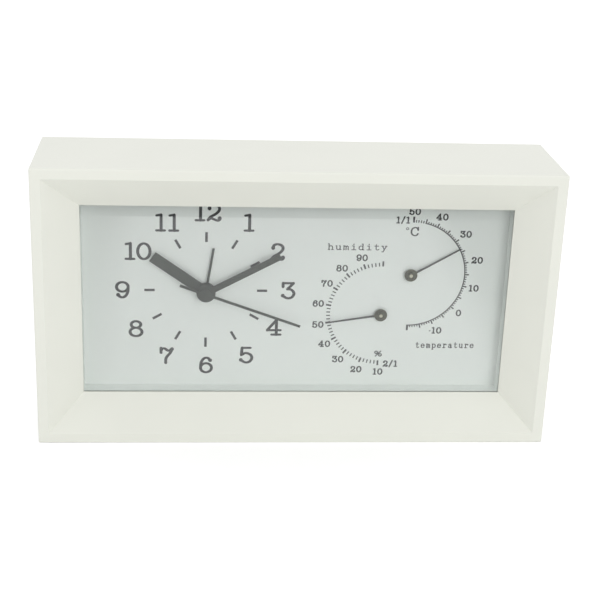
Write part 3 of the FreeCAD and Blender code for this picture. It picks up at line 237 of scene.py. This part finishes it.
def battery_finish():
    """A plain foil wrap with one copper-toned end, and bare steel at both ends."""
    low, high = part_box("battery")
    collar_from, steel_to, steel_from = 0.72, 0.012, 0.965
    made = material("battery_foil")
    along = add(made, "SeparateXYZ", {"Vector": add(made, "TexCoord").outputs["Object"]}).outputs["X"]
    length = high.x - low.x
    on_collar = math_of(made, "GREATER_THAN", along, low.x + collar_from * length)
    bare_start = math_of(made, "LESS_THAN", along, low.x + steel_to * length)
    bare_end = math_of(made, "GREATER_THAN", along, low.x + steel_from * length)
    bare = math_of(made, "MAXIMUM", bare_start, bare_end)
    smudge = noise(made, 0.004)
    wrap = mixed(made, on_collar, (0.055, 0.06, 0.068, 1), (0.55, 0.33, 0.16, 1))
    tone = mixed(made, bare, wrap, (0.62, 0.62, 0.6, 1))
    shader = add(made, "BsdfPrincipled", {
        "Base Color": tone,
        "Roughness": spread(made, smudge, 0.24, 0.38),
        "Metallic": spread(made, math_of(made, "MAXIMUM", on_collar, bare), 0.3, 1.0, 0.0, 1.0),
        "Normal": relief(made, 0.000006, smudge),
    })
    output(made, shader.outputs["BSDF"])
    return made


OFF_WHITE = (0.80, 0.81, 0.74)
FINISHES = {
    "case_plastic": finish("case_moulding", OFF_WHITE, 0.34, patch=0.045, shade=0.012,
                           grain=0.0007, depth=0.000005, sockets={"IOR": 1.48}),
    "lens_glass": clear_lens(),
    "dial_white": finish("dial_print_ground", (0.86, 0.89, 0.86), 0.62, patch=0.05, shade=0.012,
                         grain=0.0003, depth=0.000003),
    "hand_paint": finish("hand_lacquer", (0.025, 0.035, 0.024), 0.5, patch=0.006, shade=0.15,
                         grain=0.0003, depth=0.000004),
    "movement_black": finish("movement_moulding", (0.03, 0.03, 0.03), 0.5, patch=0.01, shade=0.2,
                             grain=0.0004, depth=0.00001),
    "nylon": finish("natural_nylon", (0.8, 0.79, 0.7), 0.4, patch=0.004, shade=0.04, grain=0.0003,
                    depth=0.000004, sockets={"Subsurface Weight": 0.15, "Subsurface Scale": 0.001}),
    "knob_plastic": finish("knob_moulding", (0.8, 0.8, 0.76), 0.42, patch=0.004, shade=0.03,
                           grain=0.0003, depth=0.000008),
    "magnet": finish("magnet_sinter", (0.06, 0.06, 0.062), 0.55, patch=0.002, shade=0.2, grain=0.0002,
                     depth=0.00001, metallic=0.5),
    "steel": finish("plated_steel", (0.62, 0.62, 0.6), 0.3, patch=0.004, shade=0.06, rub=0.08,
                    grain=0.0003, depth=0.000004, metallic=1.0, stretch=(0.15, 1, 1)),
    "copper_wire": winding_finish(),
    "brass": finish("turned_brass", (0.72, 0.52, 0.22), 0.28, patch=0.003, shade=0.08, rub=0.08,
                    grain=0.0003, depth=0.000004, metallic=1.0),
    "bimetal": finish("bimetal_strip", (0.5, 0.42, 0.3), 0.32, patch=0.003, shade=0.1, rub=0.08,
                      grain=0.0003, depth=0.000004, metallic=1.0, stretch=(1, 0.2, 1)),
    "board_green": board_finish(),
    "chip_black": finish("chip_resin", (0.02, 0.02, 0.021), 0.45, patch=0.002, shade=0.2, grain=0.0002,
                         depth=0.000006),
    "battery_wrap": battery_finish(),
}
INK = finish("dial_ink", (0.028, 0.029, 0.03), 0.6, patch=0.004, shade=0.2, grain=0.0003, depth=0.000002)
OWN_FINISHES = {
    "thermometer_pointer": pointer_finish("thermometer_pointer_finish", THERMOMETER),
    "hygrometer_pointer": pointer_finish("hygrometer_pointer_finish", HYGROMETER),
    # The spacer's walls and ledge are a lighter white than the dial's: painted light where the recess shades
    # them
    "dial_spacer": finish("dial_wall_painted_light", (0.93, 0.96, 0.93), 0.5, patch=0.05, shade=0.01, grain=0.0005,
                          depth=0.000003),
}


def dress_nodes():
    """Gives each piece its own finish, or that of its slot."""
    for name, item in frame["nodes"].items():
        for holder in item.material_slots:
            wanted = OWN_FINISHES.get(name) or FINISHES[holder.name.split(".")[0]]
            holder.link = "OBJECT"
            holder.material = wanted


# Strokes and figures

# How many straight steps stand for a span of a smooth line, a stroke's round end and a full circle
STEPS_PER_SPAN = 6
CAP_STEPS = 5
SPOT_STEPS = 16

# By what share of its width a level stroke is thinner than an upright one
CONTRAST = 0.25

# A round end's radius as a share of a stroke's width, and a letter's width as a share of its pitch
BALL_SHARE = 0.66
LETTER_SHARE = 0.84


def smooth(*knots):
    """Points on a smooth line through the knots."""
    ends = [tuple(2 * a - b for a, b in zip(knots[0], knots[1])),
            tuple(2 * a - b for a, b in zip(knots[-1], knots[-2]))]
    chain = [Vector(k) for k in (ends[0], *knots, ends[1])]
    points = []
    for before, start, end, after in zip(chain, chain[1:], chain[2:], chain[3:]):
        for step in range(STEPS_PER_SPAN):
            t = step / STEPS_PER_SPAN
            points.append(0.5 * (2 * start + (end - before) * t
                                 + (2 * before - 5 * start + 4 * end - after) * t ** 2
                                 + (3 * start - before - 3 * end + after) * t ** 3))
    return [points + [chain[-2]]]


def arc(centre, radii, start, end, steps=24):
    """Points on an arc of an ellipse, with its angles in degrees from the right, anticlockwise."""
    turns = [math.radians(start + (end - start) * step / steps) for step in range(steps + 1)]
    return [[Vector((centre[0] + radii[0] * math.cos(turn), centre[1] + radii[1] * math.sin(turn)))
             for turn in turns]]


def ring(x, y, wide, high):
    """A closed ellipse, as two halves that overlap."""
    return arc((x, y), (wide, high), -100, 100) + arc((x, y), (wide, high), 80, 280)


def lines(*points):
    """Straight strokes from point to point."""
    return [[Vector(a), Vector(b)] for a, b in zip(points, points[1:])]


def ball(x, y):
    """A round end."""
    return [[Vector((x, y))]]


def ribbon(points, width, contrast=0.0):
    """The outline of a stroke with round ends. With contrast, its level stretches are thinner."""
    sides = []
    for i, point in enumerate(points):
        along = (points[min(i + 1, len(points) - 1)] - points[max(i - 1, 0)]).normalized()
        half = width / 2 * (1 - contrast * (1 - abs(along.y)))
        sides.append((point, along * half, Vector((-along.y, along.x)) * half))
    outline = [point - side for point, _, side in sides]
    for reach, (point, along, side) in ((1, sides[-1]), (-1, sides[0])):
        for step in range(1, CAP_STEPS):
            turn = math.pi * step / CAP_STEPS
            outline.append(point + reach * (along * math.sin(turn) - side * math.cos(turn)))
        if reach == 1:
            outline += [p + s for p, _, s in reversed(sides)]
    return outline


def round_spot(centre, radius):
    """The outline of a filled disc."""
    return [centre + Vector((math.cos(turn), math.sin(turn))) * radius
            for turn in (math.tau * step / SPOT_STEPS for step in range(SPOT_STEPS))]


# A figure's width is a share of its height. Its strokes run from 0 to 1 across and up, a slash further.
FIGURES = {
    "0": (0.79, ring(0.5, 0.5, 0.5, 0.5)),
    "1": (0.6, lines((0.04, 0.955), (0.56, 1.0), (0.56, 0.0)) + lines((0, 0), (1, 0))),
    "2": (0.8, ball(0.13, 0.76)
          + smooth((0.13, 0.72), (0.2, 0.93), (0.5, 1.0), (0.84, 0.9), (0.92, 0.68), (0.68, 0.44),
                   (0.22, 0.22), (0.02, 0.02))
          + smooth((0.02, 0.03), (0.26, 0.13), (0.5, 0.07), (0.76, 0.0), (0.9, 0.02), (1.0, 0.14))
          + ball(0.94, 0.14)),
    "3": (0.81, lines((0.1, 0.76), (0.1, 1.0), (0.94, 1.0), (0.46, 0.6)) + ball(0.1, 0.17)
          + smooth((0.46, 0.6), (0.78, 0.56), (1.0, 0.32), (0.82, 0.06), (0.46, 0.0), (0.1, 0.15))),
    "4": (0.87, lines((0.68, 1.0), (0.0, 0.3), (1.0, 0.3)) + lines((0.68, 1.0), (0.68, 0.0))
          + lines((0.32, 0.0), (1.0, 0.0))),
    "5": (0.8, lines((0.88, 1.0), (0.18, 1.0), (0.12, 0.52)) + ball(0.09, 0.17)
          + smooth((0.12, 0.5), (0.45, 0.64), (0.86, 0.54), (1.0, 0.31), (0.82, 0.06), (0.46, 0.0),
                   (0.09, 0.15))),
    "6": (0.74, ring(0.5, 0.31, 0.5, 0.31) + ball(0.87, 0.83)
          + smooth((0.0, 0.33), (0.05, 0.66), (0.27, 0.93), (0.6, 1.0), (0.87, 0.85))),
    "7": (0.78, lines((0.04, 1.0), (0.04, 0.7)) + ball(0.97, 0.94)
          + smooth((0.04, 0.84), (0.18, 0.97), (0.38, 0.97), (0.66, 0.83), (0.97, 0.94))
          + smooth((0.97, 0.94), (0.82, 0.68), (0.52, 0.4), (0.44, 0.2), (0.44, 0.0))),
    "8": (0.78, ring(0.5, 0.78, 0.4, 0.22) + ring(0.5, 0.28, 0.5, 0.28)),
    "9": (0.76, ring(0.5, 0.69, 0.5, 0.31) + ball(0.13, 0.17)
          + smooth((1.0, 0.67), (0.95, 0.34), (0.73, 0.07), (0.4, 0.0), (0.13, 0.15))),
    "-": (0.3, lines((0.0, 0.42), (1.0, 0.42))),
    "/": (0.62, lines((0.0, -0.08), (1.0, 1.08))),
    "%": (1.2, ring(0.2, 0.76, 0.2, 0.24) + ring(0.8, 0.24, 0.2, 0.24)
          + lines((0.12, 0.0), (0.88, 1.0))),
    "°": (1.0, ring(0.5, 0.5, 0.5, 0.5)),
    "C": (0.86, lines((0.96, 1.0), (0.96, 0.68))
          + smooth((0.96, 0.76), (0.74, 0.96), (0.46, 1.0), (0.12, 0.84), (0.0, 0.5), (0.12, 0.16),
                   (0.46, 0.0), (0.78, 0.04), (0.97, 0.24))),
    "O": (0.8, ring(0.5, 0.5, 0.5, 0.5)),
    "N": (0.74, lines((0, 0), (0, 1), (1, 0), (1, 1))),
    "F": (0.6, lines((0, 0), (0, 1), (1, 1)) + lines((0, 0.52), (0.8, 0.52))),
}

# Small letters. Their height is that of an x, and some reach above or below.
LETTERS = {
    "h": lines((0.0, 1.5), (0.16, 1.5), (0.16, 0.0)) + lines((0.0, 0.0), (0.34, 0.0))
         + smooth((0.16, 0.7), (0.34, 0.94), (0.6, 0.98), (0.8, 0.72)) + lines((0.8, 0.72), (0.8, 0.0))
         + lines((0.64, 0.0), (1.0, 0.0)),
    "u": lines((0.0, 1.0), (0.16, 1.0), (0.16, 0.3))
         + smooth((0.16, 0.32), (0.3, 0.04), (0.56, 0.02), (0.8, 0.3))
         + lines((0.64, 1.0), (0.8, 1.0), (0.8, 0.0), (1.0, 0.0)),
    "m": lines((0.0, 1.0), (0.1, 1.0), (0.1, 0.0)) + smooth((0.1, 0.75), (0.3, 0.98), (0.48, 0.75))
         + smooth((0.48, 0.75), (0.68, 0.98), (0.88, 0.75)) + lines((0.48, 0.75), (0.48, 0.0))
         + lines((0.88, 0.75), (0.88, 0.0), (1.0, 0.0)) + lines((0.0, 0.0), (0.2, 0.0)),
    "i": lines((0.2, 1.0), (0.52, 1.0), (0.52, 0.0)) + lines((0.14, 0.0), (0.9, 0.0)) + ball(0.5, 1.42),
    "d": ring(0.42, 0.5, 0.36, 0.5) + lines((0.58, 1.5), (0.78, 1.5), (0.78, 0.0), (1.0, 0.0)),
    "t": lines((0.4, 1.36), (0.4, 0.3)) + smooth((0.4, 0.32), (0.48, 0.04), (0.7, 0.0), (0.92, 0.16))
         + lines((0.1, 1.0), (0.84, 1.0)),
    "y": lines((0.16, 1.0), (0.52, 0.05)) + lines((0.86, 1.0), (0.32, -0.48), (0.08, -0.48))
         + lines((0.0, 1.0), (0.34, 1.0)) + lines((0.68, 1.0), (1.0, 1.0)),
    "e": lines((0.1, 0.52), (0.9, 0.52))
         + smooth((0.9, 0.52), (0.78, 0.9), (0.5, 1.0), (0.18, 0.86), (0.06, 0.5), (0.2, 0.12), (0.52, 0.0),
                  (0.88, 0.16)),
    "p": lines((0.0, 1.0), (0.18, 1.0), (0.18, -0.46)) + lines((0.0, -0.46), (0.4, -0.46))
         + ring(0.56, 0.5, 0.38, 0.5),
    "r": lines((0.06, 1.0), (0.3, 1.0), (0.3, 0.0)) + lines((0.04, 0.0), (0.62, 0.0)) + ball(0.9, 0.82)
         + smooth((0.3, 0.62), (0.48, 0.92), (0.74, 1.0), (0.9, 0.86)),
    "a": ring(0.42, 0.28, 0.34, 0.28) + lines((0.78, 0.66), (0.78, 0.0), (1.0, 0.0))
         + smooth((0.78, 0.64), (0.66, 0.94), (0.42, 1.0), (0.16, 0.84)),
}


def drawn(strokes, corner, width, height, weight):
    """The outlines of one figure or letter, which fills a box of that width and height with its strokes."""
    half, across, up = weight / 2, width - weight, height - weight

    def put(point):
        return Vector((corner[0] + half + point.x * across, corner[1] + half + point.y * up))

    outlines = []
    for stroke in strokes:
        points = [put(point) for point in stroke]
        if len(points) == 1:
            outlines.append(round_spot(points[0], weight * BALL_SHARE))
        else:
            outlines.append(ribbon(points, weight, CONTRAST))
    return outlines


def figures(text, centre, height, weight, gap=0.08, wide=1.0):
    """Figures side by side, centred on a point. Each is one group of outlines."""
    widths = [FIGURES[sign][0] * height * wide for sign in text]
    space = gap * height
    left = centre[0] - (sum(widths) + space * (len(text) - 1)) / 2
    groups = []
    for sign, width in zip(text, widths):
        groups.append(drawn(FIGURES[sign][1], (left, centre[1] - height / 2), width, height, weight))
        left += width + space
    return groups


def word(text, centre, height, pitch, weight):
    """Small letters at one pitch, as a typewriter sets them, centred on a point."""
    width = pitch * LETTER_SHARE
    left = centre[0] - pitch * len(text) / 2 + (pitch - width) / 2
    return [drawn(LETTERS[sign], (left + pitch * i, centre[1] - height / 2), width, height, weight)
            for i, sign in enumerate(text)]


def fused(outlines):
    """The area under any of the outlines, as points and triangles that don't overlap."""
    points, faces = [], []
    for outline in outlines:
        faces.append(list(range(len(points), len(points) + len(outline))))
        points.extend(outline)
    with_hull, merge_within, with_sources = 0, 1e-5, True
    result = geometry.delaunay_2d_cdt(points, [], faces, with_hull, merge_within, with_sources)
    flat, _, areas, _, _, sources = result
    kept = [area for area, source in zip(areas, sources) if source]
    used = sorted({i for area in kept for i in area})
    order = {old: new for new, old in enumerate(used)}
    return [flat[i] for i in used], [[order[i] for i in area] for area in kept]


def on_front(depth):
    """A function that puts flat points on a face that looks to the front at that depth."""
    return lambda point, out: Vector((point.x, depth - out, point.y)) * MM


def on_back(depth):
    """A function that puts flat points, as seen from behind, on a face that looks back at that depth."""
    return lambda point, out: Vector((-point.x, depth + out, point.y)) * MM


def slab(name, groups, put, rise, sunk, finished):
    """One thin mesh of many closed marks. They stand rise above their face and reach sunk below it."""
    points, faces = [], []
    for outlines in groups:
        flat, areas = fused(outlines)
        first = len(points)
        count = len(flat)
        points += [put(point, rise) for point in flat] + [put(point, -sunk) for point in flat]
        rims = set()
        for area in areas:
            faces.append([first + i for i in area])
            faces.append([first + count + i for i in reversed(area)])
            rims.update(zip(area, (*area[1:], area[0])))
        for start, end in rims:
            if (end, start) not in rims:
                faces.append([first + end, first + start, first + count + start, first + count + end])
    mesh = bpy.data.meshes.new(name)
    mesh.from_pydata(points, [], faces)
    mesh.validate()
    mesh.materials.append(finished)
    made = bpy.data.objects.new(name, mesh)
    bpy.context.scene.collection.objects.link(made)
    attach(made, "case")


# The dial's print, in millimetres across and up

PRINT_RISE = 0.02
PRINT_SUNK = 0.01
HALF_TURN = 180
DIAL_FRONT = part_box("dial_plate")[0].y / MM


def around(centre, radius, turn):
    """The point at that radius and angle, in degrees from the right, anticlockwise."""
    angle = math.radians(turn)
    return Vector((centre.x + radius * math.cos(angle), centre.z + radius * math.sin(angle)))


def tick(centre, turn, inner, length, weight):
    """A straight mark that points away from the centre, with square ends."""
    start, end = around(centre, inner, turn), around(centre, inner + length, turn)
    along = (end - start).normalized()
    side = Vector((-along.y, along.x)) * weight / 2
    return [start - side, end - side, end + side, start + side]


def printed(name, groups):
    """A part of the dial's print."""
    slab(name, groups, on_front(DIAL_FRONT), PRINT_RISE, PRINT_SUNK, INK)


# How many millimetres a numeral sits off its place on the circle, across and up
HOUR_SHIFTS = {1: (0.4, 0.3), 2: (0.05, 0.25), 3: (0.25, 0.1), 4: (-0.55, 0.5), 5: (0.2, 0.1),
               6: (0.3, 0.0), 7: (0.5, -0.2), 8: (0.25, -0.4), 9: (-0.6, 0.0), 10: (1.24, 0.0),
               11: (0.85, 0.0), 12: (0.52, 0.0)}


def clock_print():
    """The twelve hours and their ticks."""
    hour_radius, hour_height, hour_weight = 31.95, 7.5, 1.18
    tick_middle, tick_length, tick_weight = 22.02, 4.0, 1.0
    straight_up, hour_step = 90, 30
    usual_gap, gap_in_11 = 0.02, 0.07
    numerals, ticks = [], []
    for hour in range(1, 13):
        turn = straight_up - hour_step * hour
        spot = around(CLOCK, hour_radius, turn) + Vector(HOUR_SHIFTS[hour])
        gap = gap_in_11 if hour == 11 else usual_gap
        numerals += figures(str(hour), spot, hour_height, hour_weight, gap)
        ticks.append([tick(CLOCK, turn, tick_middle - tick_length / 2, tick_length, tick_weight)])
    printed("dial_hour_numerals", numerals)
    printed("dial_hour_ticks", ticks)


def small_figures(places):
    """The numbers of a small scale, each at its own place."""
    height, weight, wide = 2.95, 0.6, 0.94
    groups = []
    for text, spot in places.items():
        groups += figures(text, spot, height, weight, wide=wide)
    return groups


def thermometer_print():
    """The temperature scale, from -20 to 50 degrees over half a turn."""
    radius, line_weight, line_steps = 21.65, 0.42, 60
    lowest, highest, line_top = -20, 50, 45

    def turn_of(degrees):
        return (degrees - (lowest + highest) / 2) * HALF_TURN / (highest - lowest)

    middle = (THERMOMETER.x, THERMOMETER.z)
    curve = arc(middle, (radius, radius), turn_of(lowest), turn_of(line_top), line_steps)
    scale = [ribbon(curve[0], line_weight)]
    loose = []
    for degrees in range(lowest, highest + 1):
        if degrees in (lowest, highest):
            length, weight = 2.4, 0.8
        elif degrees % 5 == 0:
            length, weight = 1.9, 0.55
        else:
            length, weight = 1.1, 0.45
        mark = tick(THERMOMETER, turn_of(degrees), radius - line_weight / 2, length, weight)
        if degrees > line_top:
            loose.append([mark])
        else:
            scale.append(mark)
    printed("thermometer_scale", [scale] + loose)
    groups = small_figures({
        "50": (45.5, 90.8), "40": (56.4, 88.7), "30": (66.2, 81.75), "20": (71.5, 71.0), "10": (71.05, 59.2),
        "0": (65.75, 48.6), "-10": (56.8, 41.05), "1/1": (41.1, 87.3),
    })
    groups += figures("°", (43.0, 83.8), 1.15, 0.3)
    groups += figures("C", (45.95, 82.65), 3.9, 0.64)
    printed("thermometer_numbers", groups)


def hygrometer_print():
    """The humidity scale, from 10 to 100 percent over half a turn."""
    lowest, highest, step = 10, 100, 2
    inner, straight_down = 20.15, 270
    ticks = []
    for percent in range(lowest, highest + 1, step):
        turn = straight_down - (percent - lowest) * HALF_TURN / (highest - lowest)
        length, weight = (2.1, 0.7) if percent % 10 == 0 else (1.5, 0.45)
        ticks.append([tick(HYGROMETER, turn, inner, length, weight)])
    printed("hygrometer_scale", ticks)
    groups = small_figures({
        "90": (25.8, 71.6), "80": (18.1, 67.2), "70": (12.4, 60.8), "60": (9.3, 52.3), "50": (9.4, 43.3),
        "40": (12.3, 35.0), "30": (18.0, 28.3), "20": (25.6, 23.9), "10": (34.5, 22.9), "2/1": (39.4, 26.4),
    })
    groups += figures("%", (34.3, 30.8), 2.65, 0.5)
    printed("hygrometer_numbers", groups)


def scale_words():
    """What each small scale shows, in general words."""
    height, weight = 2.0, 0.42
    groups = word("humidity", (23.8, 75.7), height, 3.0, weight)
    groups += word("temperature", (61.15, 34.3), height, 2.22, weight)
    printed("dial_scale_words", groups)


# Marks printed on the back, in millimetres across as seen from behind and up

def arrow(centre, radius, start, end):
    """A curved arrow with its head at the end angle."""
    weight, head_half, head_long = 0.5, 1.0, 1.5
    curve = arc(centre, (radius, radius), start, end)[0]
    neck = curve[-1]
    tip_way = (neck - curve[-2]).normalized()
    across = Vector((-tip_way.y, tip_way.x)) * head_half
    return [ribbon(curve, weight), [neck - across, neck + tip_way * head_long, neck + across]]


def rear_marks():
    """Arrows over the two knobs, and the alarm switch's two positions."""
    cover_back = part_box("rear_cover")[1].y / MM
    rise, sunk = 0.03, 0.01
    reach, arrow_start, arrow_end = 6.9, 120, 60
    knobs = [PIVOT[name] for name in ("time_setting_spin", "alarm_setting_spin")]
    groups = [arrow((-knob.x, knob.z), reach, arrow_start, arrow_end) for knob in knobs]
    low, high = (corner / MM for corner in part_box("alarm_switch"))
    # The switch is built in at OFF, and its travel takes it to ON
    travel, drop, off_aside = 4.0, 3.6, 0.8
    letters, weight, gap = 1.5, 0.3, 0.2
    middle = Vector((-(low.x + high.x) / 2, (low.z + high.z) / 2 - drop))
    groups += figures("OFF", middle + Vector((off_aside, 0)), letters, weight, gap)
    groups += figures("ON", middle - Vector((travel, 0)), letters, weight, gap)
    slab("rear_cover_marks", groups, on_back(cover_back), rise, sunk, INK)


# The studio

WHITE = (1, 1, 1, 1)
SHEET_WHITE = (0.92, 0.92, 0.92)


def panel(name, corners, finished):
    """A flat sheet of the studio, which isn't part of the object."""
    mesh = bpy.data.meshes.new(name)
    mesh.from_pydata([Vector(c) * MM for c in corners], [], [[0, 1, 2, 3]])
    mesh.materials.append(finished)
    made = bpy.data.objects.new(name, mesh)
    bpy.context.scene.collection.objects.link(made)


def seen(owner):
    """1 where a ray shows the studio itself: to the camera, in gloss, or through glass."""
    path = add(owner, "LightPath").outputs
    direct = math_of(owner, "MAXIMUM", path["Is Camera Ray"], path["Is Glossy Ray"])
    return math_of(owner, "MAXIMUM", direct, path["Is Transmission Ray"])


def paper(owner):
    """The sheet's own matt white, a little uneven."""
    patch, low, high = 0.08, 0.99, 1.0
    tone = mixed(owner, noise(owner, patch), shaded(SHEET_WHITE, low), shaded(SHEET_WHITE, high))
    return add(owner, "BsdfDiffuse", {"Color": tone}).outputs["BSDF"]


def far_sheet():
    """The sheet under the clock. It takes shadows, is lifted where seen, and its sides are dim in gloss."""
    lift = 0.27
    middle, bright_to, dim_from, dimmed = 0.01, 0.082, 0.105, 0.7
    made = material("sheet_white")
    plain = paper(made)
    glow = add(made, "Emission", {"Color": WHITE, "Strength": math_of(made, "MULTIPLY", seen(made), lift)})
    both = add(made, "AddShader", {0: plain, 1: glow.outputs["Emission"]})
    across = add(made, "SeparateXYZ", {"Vector": add(made, "TexCoord").outputs["Object"]}).outputs["X"]
    off_middle = math_of(made, "ABSOLUTE", math_of(made, "SUBTRACT", across, middle))
    aside = spread(made, off_middle, 0.0, dimmed, bright_to, dim_from)
    in_gloss = add(made, "LightPath").outputs["Is Glossy Ray"]
    dim = add(made, "BsdfDiffuse", {"Color": (0.05, 0.05, 0.05, 1)})
    shown = add(made, "MixShader", {
        0: math_of(made, "MULTIPLY", aside, in_gloss), 1: both.outputs["Shader"], 2: dim.outputs["BSDF"],
    })
    output(made, shown.outputs["Shader"])
    return made


def near_sheet():
    """The sheet towards the camera: plain white where the camera sees it, and dark in gloss."""
    made = material("sheet_near")
    pale = paper(made)
    dark = add(made, "BsdfDiffuse", {"Color": (0.2, 0.2, 0.2, 1)})
    white = add(made, "Emission", {"Color": WHITE, "Strength": 1.0})
    path = add(made, "LightPath").outputs
    mirrored = add(made, "MixShader", {0: path["Is Glossy Ray"], 1: pale, 2: dark.outputs["BSDF"]})
    shown = add(made, "MixShader", {
        0: path["Is Camera Ray"], 1: mirrored.outputs["Shader"], 2: white.outputs["Emission"],
    })
    output(made, shown.outputs["Shader"])
    return made


def floor():
    """The white sheet, in two parts that meet in front of the clock."""
    side, nearest, meeting, farthest = 1500, -1500, -294, 1800
    panel("floor_sheet", [(-side, meeting, 0), (side, meeting, 0), (side, farthest, 0), (-side, farthest, 0)],
          far_sheet())
    panel("floor_front", [(-side, nearest, 0), (side, nearest, 0), (side, meeting, 0), (-side, meeting, 0)],
          near_sheet())


def sky():
    """A pale sky, a little brighter where it is seen than where it lights."""
    world = bpy.data.worlds.new("pale_sky")
    world.use_nodes = True
    world.node_tree.nodes.clear()
    lit_level, seen_level = 0.95, 1.0
    strength = spread(world, seen(world), lit_level, seen_level, 0.0, 1.0)
    background = add(world, "Background", {"Color": WHITE, "Strength": strength})
    add(world, "OutputWorld", {"Surface": background.outputs["Background"]})
    bpy.context.scene.world = world


def lamp():
    """One soft lamp to the front right, turned to the clock."""
    place, target = Vector((0.5, -1.5, 0.42)), Vector((0, 0, 0.05))
    light = bpy.data.lights.new("soft_lamp", "AREA")
    light.shape = "DISK"
    light.size = 0.7
    light.energy = 3.7
    holder = bpy.data.objects.new("soft_lamp", light)
    holder.location = place
    aim = target - holder.location
    holder.rotation_euler = aim.to_track_quat("-Z", "Y").to_euler()
    holder.visible_glossy = False
    bpy.context.scene.collection.objects.link(holder)


def camera():
    """The photograph's viewpoint, worked out from the case's corners."""
    yaw, pitch, roll = 0.08234, 0.36671, 0.03632
    place = Vector((-39.139, -503.524, 245.691)) * MM
    focal_pixels, frame_pixels, sensor = 1354.5, 600, 36.0
    data = bpy.data.cameras.new("camera")
    data.sensor_width = sensor
    data.lens = focal_pixels / frame_pixels * sensor
    data.clip_start = 0.01
    data.clip_end = 20
    made = bpy.data.objects.new("camera", data)
    turn = (Matrix.Rotation(-yaw, 4, "Z") @ Matrix.Rotation(math.pi / 2 - pitch, 4, "X")
            @ Matrix.Rotation(roll, 4, "Z"))
    made.matrix_world = Matrix.Translation(place) @ turn
    bpy.context.scene.collection.objects.link(made)
    bpy.context.scene.camera = made


dress_nodes()
clock_print()
thermometer_print()
hygrometer_print()
scale_words()
rear_marks()
floor()
sky()
lamp()
camera()
bpy.context.scene.view_settings.view_transform = "Standard"
